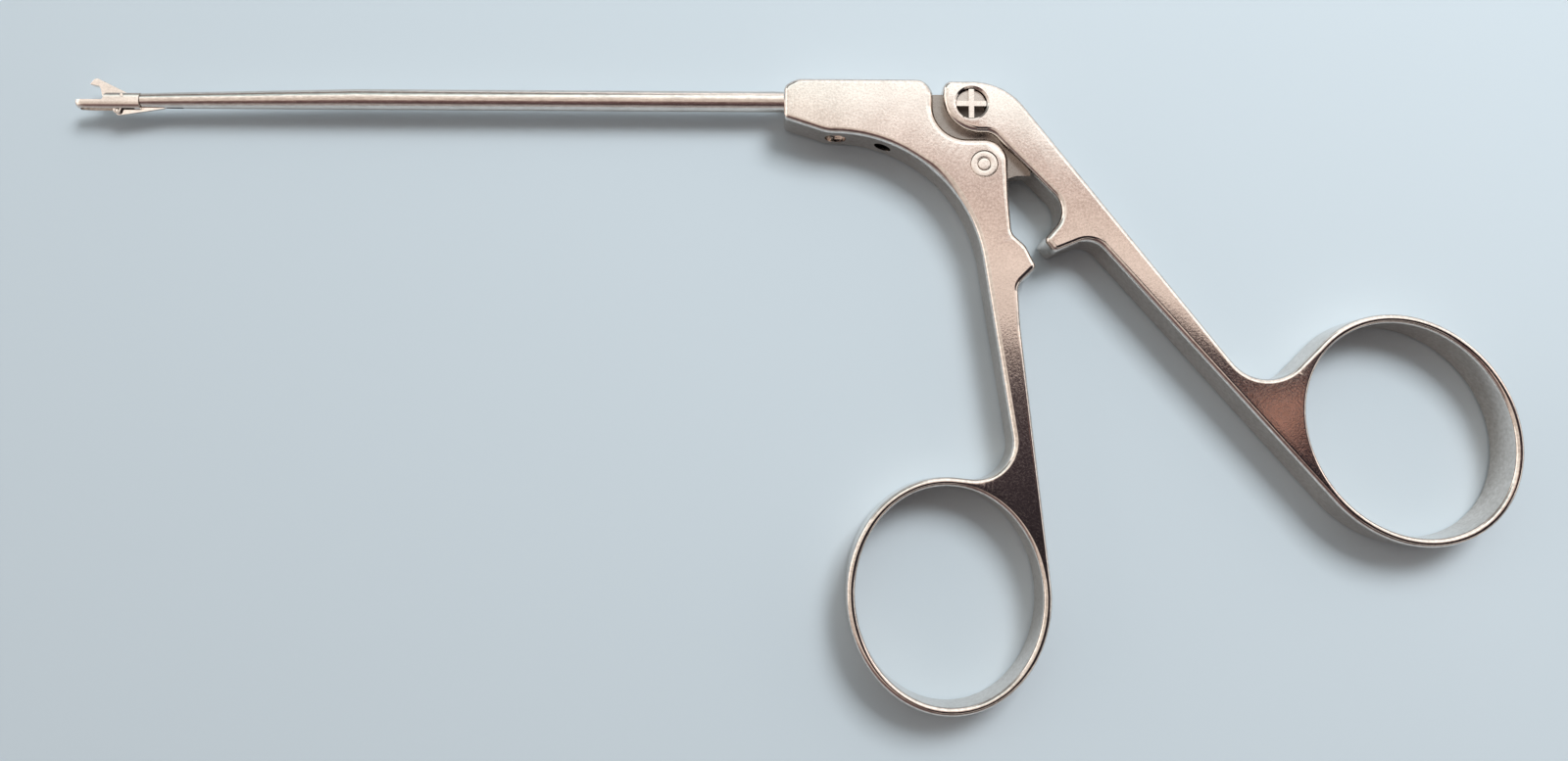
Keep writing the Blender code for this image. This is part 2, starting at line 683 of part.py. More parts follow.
def make_lever(finish):
    """Moving handle: head, tang, arm and thumb ring in one forging."""
    ring_hole = oval_arc(THUMB_RING_CENTRE, THUMB_RING_BORE, THUMB_RING_TILT, 0.0, 360.0 - OVAL_STEP)
    data = plate_mesh(
        "moving_handle", lever_outline(), 0.0, HANDLE_THICKNESS, EDGE_RADIUS, holes=[ring_hole]
    )
    lever = placed("moving_handle", data, finish, origin=(*PIVOT, 0.0))
    add(lever, "tang", tang_mesh())
    cut(lever, "eye_bore", bar_mesh(
        "eye_bore",
        Vector((*PIVOT, 0.0)),
        Vector((*PIVOT, HANDLE_THICKNESS)),
        SLEEVE_DIAMETER / 2 + RUNNING_GAP,
        ROUND_SIDES,
    ))
    cut(lever, "trunnion_bore", bar_mesh(
        "trunnion_bore",
        Vector((*TRUNNION, -1.0)),
        Vector((*TRUNNION, HANDLE_THICKNESS + 1.0)),
        TRUNNION_DIAMETER / 2 + RUNNING_GAP,
        ROUND_SIDES,
    ))
    reach = ROD_DIAMETER / 2 + ROD_SIDE_CLEARANCE
    mouth = TANG_LEFT - 1.0
    fall = (TRUNNION.x - mouth) * math.tan(math.radians(HANDLE_RANGE))
    fan = [
        Vector((TRUNNION.x, TRUNNION.y - reach)),
        Vector((TRUNNION.x, TRUNNION.y + reach)),
        Vector((mouth, TRUNNION.y + reach)),
        Vector((mouth, TRUNNION.y - reach - fall)),
    ]
    cut(lever, "rod_pocket", plate_mesh("rod_pocket", fan, SHAFT_Z - reach, SHAFT_Z + reach))
    return lever


def make_pivot(sleeve_finish, pin_finish):
    """Sleeve pressed in the ear, with the pin riveted in it."""
    sleeve = placed("pivot_sleeve", plate_mesh(
        "pivot_sleeve",
        circle(PIVOT, SLEEVE_DIAMETER / 2),
        SEAT_GAP,
        HANDLE_THICKNESS - SEAT_GAP,
        SLEEVE_CHAMFER,
        holes=[circle(PIVOT, PIVOT_PIN_DIAMETER / 2 + SEAT_GAP, SMALL_SIDES)],
    ), sleeve_finish)
    pin = placed("pivot_pin", plate_mesh(
        "pivot_pin",
        circle(PIVOT, PIVOT_PIN_DIAMETER / 2, SMALL_SIDES),
        SEAT_GAP,
        HANDLE_THICKNESS - SEAT_GAP,
        PIVOT_PIN_CHAMFER,
    ), pin_finish)
    return sleeve, pin


def make_trunnion(finish, plug_finish):
    """Swivel in the lever's head that holds the rod's ball, and the plug behind the ball."""
    low = TRUNNION_RECESS
    high = HANDLE_THICKNESS - TRUNNION_RECESS
    radius = TRUNNION_DIAMETER / 2
    trunnion = placed("rod_trunnion", plate_mesh(
        "rod_trunnion", circle(TRUNNION, radius), low, high
    ), finish, origin=(*TRUNNION, 0.0))
    rib = TRUNNION_CROSS_WIDTH / 2
    for side_x in (-1, 1):
        for side_y in (-1, 1):
            for end, base in (("low", low - 1.0), ("high", high - TRUNNION_CROSS_DEPTH)):
                near = (TRUNNION.x + side_x * rib, TRUNNION.y + side_y * rib)
                far = (TRUNNION.x + side_x * TRUNNION_DIAMETER, TRUNNION.y + side_y * TRUNNION_DIAMETER)
                name = f"quadrant_{end}_{side_x + 1}{side_y + 1}"
                cut(trunnion, name, box_mesh(
                    name,
                    (min(near[0], far[0]), min(near[1], far[1]), base),
                    (max(near[0], far[0]), max(near[1], far[1]), base + TRUNNION_CROSS_DEPTH + 1.0),
                ))
    level = TRUNNION.y
    pocket = ROD_BALL_DIAMETER / 2 + BALL_CLEARANCE
    neck = ROD_DIAMETER / 2 + ROD_SIDE_CLEARANCE
    cut(trunnion, "rod_passage", bar_mesh(
        "rod_passage",
        Vector((TRUNNION.x - radius - 1.0, level, SHAFT_Z)),
        Vector((TRUNNION.x, level, SHAFT_Z)),
        neck,
    ))
    cut(trunnion, "ball_pocket", bar_mesh(
        "ball_pocket",
        Vector((TRUNNION.x - ROD_BALL_DIAMETER / 2 - BALL_CLEARANCE / 2, level, SHAFT_Z)),
        Vector((TRUNNION.x + radius + 1.0, level, SHAFT_Z)),
        pocket,
        ROUND_SIDES,
    ))
    plug_radius = pocket - SEAT_GAP
    plug_end = math.sqrt(radius ** 2 - plug_radius ** 2)
    plug = placed("ball_plug", bar_mesh(
        "ball_plug",
        Vector((TRUNNION.x + ROD_BALL_DIAMETER / 2 + SEAT_GAP, level, SHAFT_Z)),
        Vector((TRUNNION.x + plug_end, level, SHAFT_Z)),
        plug_radius,
        ROUND_SIDES,
    ), plug_finish, origin=(*TRUNNION, 0.0))
    return trunnion, plug


def make_tube(finish):
    """Shaft tube, straight from the housing and tapered towards the jaw."""
    stations = [
        (TUBE_REAR, TUBE_DIAMETER / 2),
        (TAPER_START, TUBE_DIAMETER / 2),
        (TUBE_FRONT, TIP_DIAMETER / 2),
    ]
    outer = [ring_about_x(x, axis_drop(x), radius, ROUND_SIDES) for x, radius in stations]
    inner = [ring_about_x(x, axis_drop(x), TUBE_BORE / 2, ROUND_SIDES) for x, _ in reversed(stations)]
    tube = placed("shaft_tube", lofted_mesh("shaft_tube", outer + inner, closed=True), finish)
    slot_half = BLADE_THICKNESS / 2 + BLADE_SLOT_GAP
    cut(tube, "blade_outlet", box_mesh(
        "blade_outlet",
        (TUBE_FRONT - 1.0, -TIP_DROP - TIP_DIAMETER, SHAFT_Z - slot_half),
        (ROD_FRONT + travel(), -TIP_DROP - TUBE_BORE / 4, SHAFT_Z + slot_half),
    ))
    return tube


def make_rod(finish):
    """Drive rod: straight in the tube, bent down in the housing, with a ball at its rear end."""
    level = rod_level()
    stations = [(ROD_FRONT, axis_drop(ROD_FRONT), ROD_DIAMETER / 2)]
    stations.append((TAPER_START, 0.0, ROD_DIAMETER / 2))
    for step in range(ROD_BEND_STEPS + 1):
        share = step / ROD_BEND_STEPS
        ease = 0.5 - 0.5 * math.cos(math.pi * share)
        x = ROD_BEND_START + (ROD_BEND_END - ROD_BEND_START) * share
        stations.append((x, level * ease, ROD_DIAMETER / 2))
    ball = ROD_BALL_DIAMETER / 2
    neck_angle = 180.0 - math.degrees(math.asin(ROD_DIAMETER / 2 / ball))
    for step in range(BALL_STEPS + 1):
        angle = neck_angle + (neck_angle / BALL_STEPS / 2 - neck_angle) * step / BALL_STEPS
        spoke = at(ball, angle)
        stations.append((TRUNNION.x + spoke.x, level, spoke.y))
    rings = [ring_about_x(x, y, radius, SMALL_SIDES) for x, y, radius in stations]
    rod = placed("drive_rod", lofted_mesh("drive_rod", rings), finish)
    slot_half = BLADE_THICKNESS / 2 + SEAT_GAP
    cut(rod, "blade_seat", box_mesh(
        "blade_seat",
        (ROD_FRONT - ROD_DIAMETER, -TIP_DROP - ROD_DIAMETER, SHAFT_Z - slot_half),
        (ROD_FRONT + BLADE_TANG_LENGTH + SEAT_GAP, ROD_DIAMETER, SHAFT_Z + slot_half),
    ))
    return rod


def make_blade(finish, pin_finish):
    """Flat blade that carries the rod's pull down to the jaw, and the link pin in its eye."""
    eye = link_pin_place()
    rear = ROD_FRONT + BLADE_TANG_LENGTH
    level = axis_drop(ROD_FRONT)
    outlet = -TIP_DROP - TIP_DIAMETER / 2
    corners = [
        (Vector((rear, level - BLADE_TANG_HALF)), BLADE_TANG_CORNER),
        (Vector((rear, level + BLADE_TANG_HALF)), BLADE_TANG_CORNER),
        (Vector((ROD_FRONT - BLADE_SHOULDER, level + BLADE_TANG_HALF)), BLADE_EYE_RADIUS),
        (eye + at(BLADE_EYE_RADIUS, 100.0), LINK_PIN_DIAMETER),
        (eye + at(BLADE_EYE_RADIUS, 190.0), LINK_PIN_DIAMETER),
        (eye + at(BLADE_EYE_RADIUS, 270.0), LINK_PIN_DIAMETER),
        (Vector((ROD_FRONT - BLADE_HEEL.x, outlet - BLADE_HEEL.y)), BLADE_EYE_RADIUS),
        (Vector((ROD_FRONT, level - BLADE_TANG_HALF)), BLADE_TANG_HALF),
    ]
    half = BLADE_THICKNESS / 2
    hole = circle(eye, LINK_PIN_DIAMETER / 2 + SEAT_GAP, SMALL_SIDES)
    blade = placed("rod_blade", plate_mesh(
        "rod_blade", rounded(corners), SHAFT_Z - half, SHAFT_Z + half, holes=[hole]
    ), finish)
    pin_half = JAW_WIDTH / 2
    pin = placed("link_pin", bar_mesh(
        "link_pin",
        Vector((*eye, SHAFT_Z - pin_half)),
        Vector((*eye, SHAFT_Z + pin_half)),
        LINK_PIN_DIAMETER / 2,
    ), pin_finish)
    return blade, pin


def plan_mesh(name, left, right, half_width, low, high):
    """Upright block with a round left end, as seen from the side of the handles."""
    corners = [
        (Vector((right, -half_width)), 0.0),
        (Vector((right, half_width)), 0.0),
        (Vector((left, half_width)), half_width),
        (Vector((left, -half_width)), half_width),
    ]
    data = plate_mesh(name, rounded(corners), -high, -low)
    data.transform(Matrix.Translation((0.0, 0.0, SHAFT_Z)) @ Matrix.Rotation(math.radians(90.0), 4, "X"))
    return data


def make_fixed_jaw(finish):
    """Cheeks and basket in one piece, with a spigot that is welded in the tube."""
    front = TUBE_FRONT - SEAT_GAP
    cheek_front = front - CHEEK_LENGTH
    nose = basket_nose()
    axis = -TIP_DROP
    corners = [
        (Vector((front, axis + CHEEK_BOTTOM)), 0.0),
        (Vector((front, axis + CHEEK_TOP)), 0.0),
        (Vector((cheek_front, axis + CHEEK_TOP)), CHEEK_CORNER),
        (Vector((cheek_front - CHEEK_CORNER, axis + BASKET_TOP)), BASKET_TOP_CORNER),
        (Vector((nose + BASKET_NOSE_LEAN, axis + BASKET_TOP - BASKET_DROOP)), BASKET_NOSE_TOP_RADIUS),
        (Vector((nose, axis + BASKET_TOP - BASKET_DEPTH - BASKET_NOSE_LEAN)), BASKET_NOSE_RADIUS),
        (Vector((cheek_front, axis + BASKET_TOP - BASKET_DEPTH)), BASKET_DEPTH),
    ]
    half = JAW_BODY_WIDTH / 2
    jaw = placed("fixed_jaw", plate_mesh(
        "fixed_jaw", rounded(corners), SHAFT_Z - half, SHAFT_Z + half, JAW_BODY_EDGE
    ), finish)
    low = axis - 2 * BASKET_DEPTH
    high = axis + 2 * CHEEK_TOP
    keep(jaw, "jaw_plan", plan_mesh("jaw_plan", nose, front + SPIGOT_LENGTH, half, low, high))
    add(jaw, "spigot", bar_mesh(
        "spigot",
        Vector((front - JAW_SLOT_SETBACK / 2, axis, SHAFT_Z)),
        Vector((front + SPIGOT_LENGTH, axis, SHAFT_Z)),
        TUBE_BORE / 2 - SEAT_GAP,
        ROUND_SIDES,
    ))
    slot_half = JAW_WIDTH / 2 + JAW_SIDE_GAP
    slot_rear = front - JAW_SLOT_SETBACK
    cut(jaw, "jaw_slot", plan_mesh("jaw_slot", nose + BASKET_NOSE_WALL, slot_rear, slot_half, low, high))
    blade_half = BLADE_THICKNESS / 2 + BLADE_SLOT_GAP
    cut(jaw, "blade_slot", box_mesh(
        "blade_slot",
        (slot_rear - JAW_SLOT_SETBACK / 2, low, SHAFT_Z - blade_half),
        (front + 2 * SPIGOT_LENGTH, axis + BLADE_TANG_HALF + 2 * BLADE_SLOT_GAP, SHAFT_Z + blade_half),
    ))
    pin = jaw_pin_place()
    cut(jaw, "jaw_pin_hole", bar_mesh(
        "jaw_pin_hole",
        Vector((*pin, SHAFT_Z - half - 1.0)),
        Vector((*pin, SHAFT_Z + half + 1.0)),
        JAW_PIN_DIAMETER / 2 + SEAT_GAP,
    ))
    return jaw


def make_punch_jaw(finish, pin_finish):
    """Hook jaw with its tail lugs, and the pin that it turns on."""
    pin = jaw_pin_place()
    axis = -TIP_DROP
    lug = link_pin_place()
    nose = Vector((basket_nose(), axis))
    tail = -90.0 - JAW_RANGE / 2
    lug_corner = LINK_LUG_RADIUS * math.sqrt(2)
    corners = [
        (lug + at(lug_corner, tail + 50.0), LINK_LUG_RADIUS),
        (pin + at(JAW_BOSS_RADIUS, tail + 75.0), JAW_BOSS_RADIUS),
        (pin + at(1.1 * JAW_BOSS_RADIUS, 0.0), JAW_BOSS_RADIUS),
        (pin + at(1.25 * JAW_BOSS_RADIUS, 60.0), JAW_BOSS_RADIUS),
        (nose + HOOK_BACK, JAW_BOSS_RADIUS),
        (nose + HOOK_TIP, HOOK_TIP_RADIUS),
        (nose + HOOK_THROAT, HOOK_FILLET),
        (nose + HOOK_CUTTER, HOOK_FILLET),
        (Vector((pin.x, axis)) + HOOK_HEEL, HOOK_FILLET),
        (lug + at(lug_corner, tail - 50.0), LINK_LUG_RADIUS),
    ]
    half = JAW_WIDTH / 2
    jaw = placed("punch_jaw", plate_mesh(
        "punch_jaw", rounded(corners), SHAFT_Z - half, SHAFT_Z + half, JAW_EDGE
    ), finish, origin=(*pin, 0.0))
    cut(jaw, "jaw_eye", bar_mesh(
        "jaw_eye",
        Vector((*pin, SHAFT_Z - half - 1.0)),
        Vector((*pin, SHAFT_Z + half + 1.0)),
        JAW_PIN_DIAMETER / 2 + LINK_SIDE_CLEARANCE,
    ))
    fork_half = BLADE_THICKNESS / 2 + BLADE_SLOT_GAP
    cut(jaw, "blade_fork", box_mesh(
        "blade_fork",
        (pin.x - crank_radius(), pin.y - 2 * crank_radius(), SHAFT_Z - fork_half),
        (pin.x + crank_radius(), pin.y - FORK_DEPTH, SHAFT_Z + fork_half),
    ))
    slot_half = LINK_PIN_DIAMETER / 2 + LINK_SIDE_CLEARANCE
    nearest = crank_radius() * math.cos(math.radians(JAW_RANGE / 2)) - LINK_SIDE_CLEARANCE / 2
    farthest = crank_radius() + LINK_SIDE_CLEARANCE / 2
    corner = slot_half * math.sqrt(2)
    around = [
        (pin + at(nearest, tail) + at(corner, tail + 135.0), slot_half),
        (pin + at(nearest, tail) + at(corner, tail - 135.0), slot_half),
        (pin + at(farthest, tail) + at(corner, tail - 45.0), slot_half),
        (pin + at(farthest, tail) + at(corner, tail + 45.0), slot_half),
    ]
    cut(jaw, "link_slot", plate_mesh(
        "link_slot", rounded(around), SHAFT_Z - half - 1.0, SHAFT_Z + half + 1.0
    ))
    pin_half = JAW_BODY_WIDTH / 2
    pivot = placed("jaw_pin", bar_mesh(
        "jaw_pin",
        Vector((*pin, SHAFT_Z - pin_half)),
        Vector((*pin, SHAFT_Z + pin_half)),
        JAW_PIN_DIAMETER / 2,
    ), pin_finish)
    return jaw, pivot


def make_set_screw(finish):
    """Screw from below that holds the tube in the housing."""
    top = -TUBE_DIAMETER / 2 - SEAT_GAP
    bottom = HOUSING_BELLY.y + SET_SCREW_INSET
    screw = placed("shaft_set_screw", bar_mesh(
        "shaft_set_screw",
        Vector((0.0, bottom, SHAFT_Z)),
        Vector((0.0, top, SHAFT_Z)),
        SET_SCREW_DIAMETER / 2,
        ROUND_SIDES,
    ), finish)
    across, depth = SET_SCREW_SOCKET
    cut(screw, "screw_socket", bar_mesh(
        "screw_socket",
        Vector((0.0, bottom - 1.0, SHAFT_Z)),
        Vector((0.0, bottom + depth, SHAFT_Z)),
        across / 2,
        6,
    ))
    return screw


def main():
    for old in list(bpy.data.objects):
        bpy.data.objects.remove(old)
    satin = steel("satin_steel", (0.62, 0.57, 0.52), 0.42)
    polished = steel("polished_steel", (0.72, 0.70, 0.68), 0.2)
    make_fixed_handle(satin)
    make_lever(satin)
    make_pivot(satin, polished)
    make_trunnion(polished, polished)
    make_tube(polished)
    make_rod(polished)
    make_blade(polished, polished)
    make_fixed_jaw(polished)
    make_punch_jaw(polished, polished)
    make_set_screw(polished)


main()
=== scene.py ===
"""Arthroscopic hook punch in stainless steel, lying on its side on a pale floor.

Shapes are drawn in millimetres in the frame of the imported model: X along the
shaft towards the thumb lever, Y from the finger ring up to the shaft, Z up
from the flat side that the punch rests on. Each finished piece is in metres.
"""
import math

import bmesh
import bpy
from bpy.props import FloatProperty, FloatVectorProperty, PointerProperty
from bpy.types import Operator, Panel, PropertyGroup
from mathutils import Matrix, Vector


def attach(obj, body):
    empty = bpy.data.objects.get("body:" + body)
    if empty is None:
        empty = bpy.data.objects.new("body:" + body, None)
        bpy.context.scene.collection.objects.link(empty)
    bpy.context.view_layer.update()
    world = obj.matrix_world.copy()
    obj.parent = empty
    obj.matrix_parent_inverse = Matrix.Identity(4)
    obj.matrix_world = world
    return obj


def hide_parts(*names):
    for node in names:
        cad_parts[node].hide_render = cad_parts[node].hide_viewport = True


bl_info = {
    "name": "Arthroscopic punch",
    "version": (1, 0, 0),
    "blender": (4, 5, 0),
    "location": "View3D > Sidebar > Punch",
    "description": "Steel pieces, finishes, floor and light of an arthroscopic hook punch",
    "category": "Object",
}

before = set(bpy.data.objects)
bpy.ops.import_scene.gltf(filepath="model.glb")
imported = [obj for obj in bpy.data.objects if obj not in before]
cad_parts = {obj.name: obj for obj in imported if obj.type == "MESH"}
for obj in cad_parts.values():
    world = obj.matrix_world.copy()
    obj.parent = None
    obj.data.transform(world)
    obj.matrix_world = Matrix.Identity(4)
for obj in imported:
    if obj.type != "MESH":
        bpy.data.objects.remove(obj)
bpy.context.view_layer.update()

MM = 0.001

# Fits, as in the solid model: running, seated, and around the rod and its ball.
RUNNING_GAP = 0.15
SEAT_GAP = 0.05
ROD_RADIUS = 0.65
ROD_REACH = ROD_RADIUS + 0.35
ROD_STROKE = 2.186
BALL_RADIUS = 1.4
BALL_CLEARANCE = 0.3
BALL_END_GAP = 0.15
OVERSHOOT = 1.0  # how far a cut reaches beyond what it cuts

# Fineness of arcs, ovals and rounded edges, limits of outlines, angles of sharp edges.
ARC_STEP = 3.0
OVAL_STEP = 2.5
EDGE_STEPS = 6
ROUND_SIDES = 96
SMALL_SIDES = 48
SHORTEST_SIDE = 0.005
SMALLEST_TURN = 0.01
FILLET_SHARE = 0.99
SHARP_ANGLE = 22.0
BREAK_ANGLE = 35.0

# Faces: upright part of the normal of a flat one and of one that looks up, and how near
# an outer flat one is to its side of the handle, in metres.
FLAT_NORMAL = 0.9995
UPWARD_NORMAL = 0.9
FLAT_REACH = 0.0001

# Places that both handles share.
TRUNNION = Vector((24.44, -1.35))
PIVOT = TRUNNION + Vector((2.16, -11.25))
EAR_RADIUS = 4.45
HANDLE_RANGE = 11.0
LEVER_STOP_ANGLE = -52.3
STOP_GAP = 0.35
STOP_INNER_RADIUS = 17.3
STOP_OUTER_RADIUS = 20.9
HEAD_LEFT = TRUNNION.x - 5.09
HEAD_TOP = 2.9
HEAD_BOTTOM = TRUNNION.y - 5.3
HOUSING_FRONT = -9.5
HOUSING_TOP = 3.2
HOUSING_REAR = HEAD_LEFT - 1.75
HOUSING_BELLY = Vector((-1.6, -6.85))
EAR_TOP = HEAD_BOTTOM - 1.05

# Rings: centre, half lengths and tilt of each bore.
FINGER_RING = (PIVOT + Vector((-6.85, -76.65)), (18.95, 16.3), -87.3)
THUMB_RING = (PIVOT + Vector((74.6, -47.35)), (19.95, 17.2), -52.5)

# Rounder edges: on both handles away from their rings, and round the head's recess and the ear.
EDGE_SWELL = 1.3
CORNER_SPARE = 0.1
SWELL_START = 0.5
SWELL_FADE = 7.0
RECESS_SWELL = 0.65
RECESS_START = HOUSING_REAR - 2.2
RECESS_FADE = 2.0
EAR_START = EAR_TOP - 14.5
EAR_FADE = 9.0

# Pivot and trunnion: their edges, the sink of the trunnion's ends, and the recesses of its cross.
SLEEVE_EDGE = 0.3
PIN_EDGE = 0.2
TRUNNION_SINK = 0.35
TRUNNION_BREAK = 0.1
PLUG_BREAK = 0.08
UPPER_RECESS = 0.6
LOWER_RECESS = 1.8
COUNTERSINK_DEPTH = 0.2
COUNTERSINK_WIDTH = 0.5

# Tang, slot, shaft and rod.
TANG_LEFT = HOUSING_REAR - 3.4
TANG_TOP = 0.95
TANG_BOTTOM = TRUNNION.y - 3.85
TANG_EYE_RADIUS = 4.0
TANG_EYE_END = 300.0
TUBE_REAR = 3.0
TUBE_FRONT = -127.6
TAPER_START = TUBE_FRONT + 39.6
TIP_DROP = 0.5
SHAFT_BREAK = 0.12
ROD_LEVEL = -1.2519
CHAMBER_LAP = 0.65
SET_SCREW_DIAMETER = 3.8
SET_SCREW_INSET = 0.8
SOCKET_DEPTH = 1.6
SOCKET_RADIUS = 0.95
SOCKET_SIDES = 6
DRAIN_X = 8.6
DRAIN_DIAMETER = 3.0
BLADE_SLOT_HALF = 0.22 + 0.06  # half the blade, and its clearance
BLADE_SLOT_TOP = 0.47
BLADE_OUTLET = 5.4 + ROD_STROKE

# Jaws, from the weld on the tube to the nose of the basket.
JAW_FRONT = TUBE_FRONT - SEAT_GAP
SPIGOT_LENGTH = 1.9
CHEEK_LENGTH = 6.2
CHEEK_HEIGHT = 1.28
BASKET_LENGTH = 5.85
BASKET_DEPTH = 2.1
BASKET_TOP = 0.2
FRONT_WALL = 0.85
SLOT_END = 1.0
NOSE = Vector((JAW_FRONT - CHEEK_LENGTH - BASKET_LENGTH, -TIP_DROP))
JAW_PIN = Vector((TUBE_FRONT - 3.2, 0.65 - TIP_DROP))
JAW_PIN_RADIUS = 0.35
JAW_EYE_RADIUS = 0.39
JAW_RANGE = 44.0
CRANK_RADIUS = 2.918
HOOK_BOSS = 0.68
HOOK_EDGE = 0.12
HOOK_SIDE_GAP = 0.1
LUG_RADIUS = 0.58
LINK_SLOT_HALF = 0.25 + 0.09  # the link pin's radius, and its clearance
LINK_SLOT_SPARE = 0.045
FORK_TOP = 0.95

# Rounded section of the jaw body: its reach and its bend above and below, and its nose.
BODY_LEVEL = -0.92
BODY_DEPTH = 1.95
BODY_SPARE = 0.1
BODY_CREST = 1.7
CREST_BEND = 0.5
BODY_KEEL = 1.42
KEEL_BEND = 0.95
NOSE_ROUNDING = (
    (0.15, 0.4), (0.2, 0.5), (0.25, 0.68), (0.55, 0.83), (1.0, 0.93), (1.6, 0.985), (2.2, 1.0)
)

# Finishes of the handles: edges and walls, outer flats, flats of the slot and the tang; the last is
# darkened as painted shade in the gap between the handles.
HANDLE_FINISHES = ("polished_edge", "satin_face", "tang_face_painted_shade")
# Finishes of the trunnion: ribs and walls, lower recesses, upper recesses; both kinds of recess are
# darkened as painted shade, the lower ones much more.
TRUNNION_FINISHES = ("trunnion_turned", "painted_shade_recess", "recess_turned_painted_shade")

# Steel: noise of its clouds and its grain, and the spans that become colour and gloss.
CLOUD_SCALE = 160.0
CLOUD_DETAIL = 5.0
CLOUD_ROUGHNESS = 0.62
CLOUD_SHARE = 0.5
GRAIN_DETAIL = 3.0
GRAIN_ROUGHNESS = 0.6
TONE_SPAN = (0.55, 0.95)
GLOSS_SPAN = (0.3, 0.7)

# Sockets that are found by number, because their names repeat within a node.
MATH_VALUE, MATH_FACTOR, MATH_ADDEND = 0, 1, 2
FIRST_VECTOR, SECOND_VECTOR = 0, 1
FIRST_SHADER, SECOND_SHADER = 1, 2
MIX_FACTOR, MIX_BASE, MIX_OVER, MIX_RESULT = 0, 6, 7, 2
SPAN_VALUE, SPAN_FROM_MIN, SPAN_FROM_MAX, SPAN_TO_MIN, SPAN_TO_MAX, SPAN_RESULT = 6, 7, 8, 9, 10, 1

# Lamps, in metres: name, place, aim, size and tint; the softbox is turned about Z instead.
LAMPS = (
    ("softbox", (0.096, 0.505, 0.6), (0.096, 0.505, 0.0), (1.6, 0.6), (0.68, 0.96, 1.0)),
    ("left_panel", (-0.9, 0.15, 0.35), (0.0, 0.05, 0.0), (0.9, 0.4), (1.0, 0.96, 0.92)),
    ("right_panel", (1.0, 0.15, 0.35), (0.0, 0.05, 0.0), (0.9, 0.4), (1.0, 0.96, 0.92)),
    ("warm_card", (0.358, -0.017, 0.6), (0.358, -0.017, 0.0), (0.045, 0.028), (1.0, 0.5, 0.35)),
    ("fill", (0.32, 0.42, 0.66), (0.0, -0.03, 0.0), (0.34, 0.34), (1.0, 1.0, 1.0)),
)
SOFTBOX_TURN = -8.8

# Floor and camera, in metres and in millimetres of the sensor.
FLOOR_SIZE = 2.0
FLOOR_DROP = 0.00002
FLOOR_ROUGHNESS = 0.7
FLOOR_SHINE = 0.2
SENSOR_WIDTH = 36.0
CLIP_START = 0.005
CLIP_END = 20.0

# Room that the steel mirrors: how far back a direction points, and the tone there; LEFT_TONES
# take over towards the left, WALL_TONE lightens low directions, and one corner is dark.
ROOM_DEPTH = (-0.087, 1.0, 0.0)
ROOM_TONES = (
    (-1.0, (0.03, 0.025, 0.03)),
    (-0.68, (0.03, 0.025, 0.03)),
    (-0.66, (0.75, 0.66, 0.60)),
    (-0.58, (0.80, 0.71, 0.65)),
    (-0.55, (0.03, 0.024, 0.028)),
    (-0.06, (0.03, 0.024, 0.028)),
    (0.0, (0.06, 0.045, 0.052)),
    (0.090, (0.095, 0.072, 0.078)),
    (0.107, (0.15, 0.11, 0.11)),
    (0.116, (1.12, 0.93, 0.82)),
    (0.156, (1.27, 1.10, 1.0)),
    (0.196, (1.10, 0.92, 0.82)),
    (0.216, (0.92, 0.75, 0.66)),
    (0.235, (0.80, 0.61, 0.55)),
    (0.250, (0.80, 0.62, 0.57)),
    (0.264, (0.95, 0.80, 0.73)),
    (0.282, (1.08, 0.94, 0.88)),
    (0.314, (1.28, 1.14, 1.08)),
    (0.6, (1.28, 1.2, 1.14)),
    (1.0, (1.35, 1.33, 1.3)),
)
LEFT_TONES = (
    (-1.0, (0.025, 0.018, 0.022)),
    (-0.95, (0.03, 0.02, 0.024)),
    (-0.8, (0.09, 0.055, 0.057)),
    (-0.5, (0.21, 0.135, 0.13)),
    (-0.40, (0.28, 0.19, 0.175)),
    (-0.33, (0.76, 0.64, 0.57)),
    (-0.1, (0.88, 0.78, 0.70)),
    (0.08, (0.88, 0.78, 0.70)),
    (0.25, (1.25, 1.16, 1.07)),
    (0.4, (1.12, 1.04, 0.97)),
    (0.6, (1.3, 1.24, 1.18)),
    (1.0, (1.3, 1.27, 1.24)),
)
LEFT_FADE = (0.11, 0.0)
WALL_TONE = (0.46, 0.43, 0.42)
WALL_FADE = (0.55, 0.2)
DARK_CORNER = (-0.47, 0.78, 0.41)
CORNER_CONE = (0.89, 0.95)
CORNER_SHADE = 0.25
SEEN_TONE = (0.86, 0.9, 0.94, 1.0)


def at(radius, angle):
    """Vector of a given length in a direction given in degrees."""
    return Vector((radius * math.cos(math.radians(angle)), radius * math.sin(math.radians(angle))))


def crossing(point_a, heading_a, point_b, heading_b):
    """Crossing of two lines, each given by a point and a heading."""
    along_a = at(1.0, heading_a)
    along_b = at(1.0, heading_b)
    between = point_b - point_a
    turn = along_a.x * along_b.y - along_a.y * along_b.x
    return point_a + along_a * ((between.x * along_b.y - between.y * along_b.x) / turn)


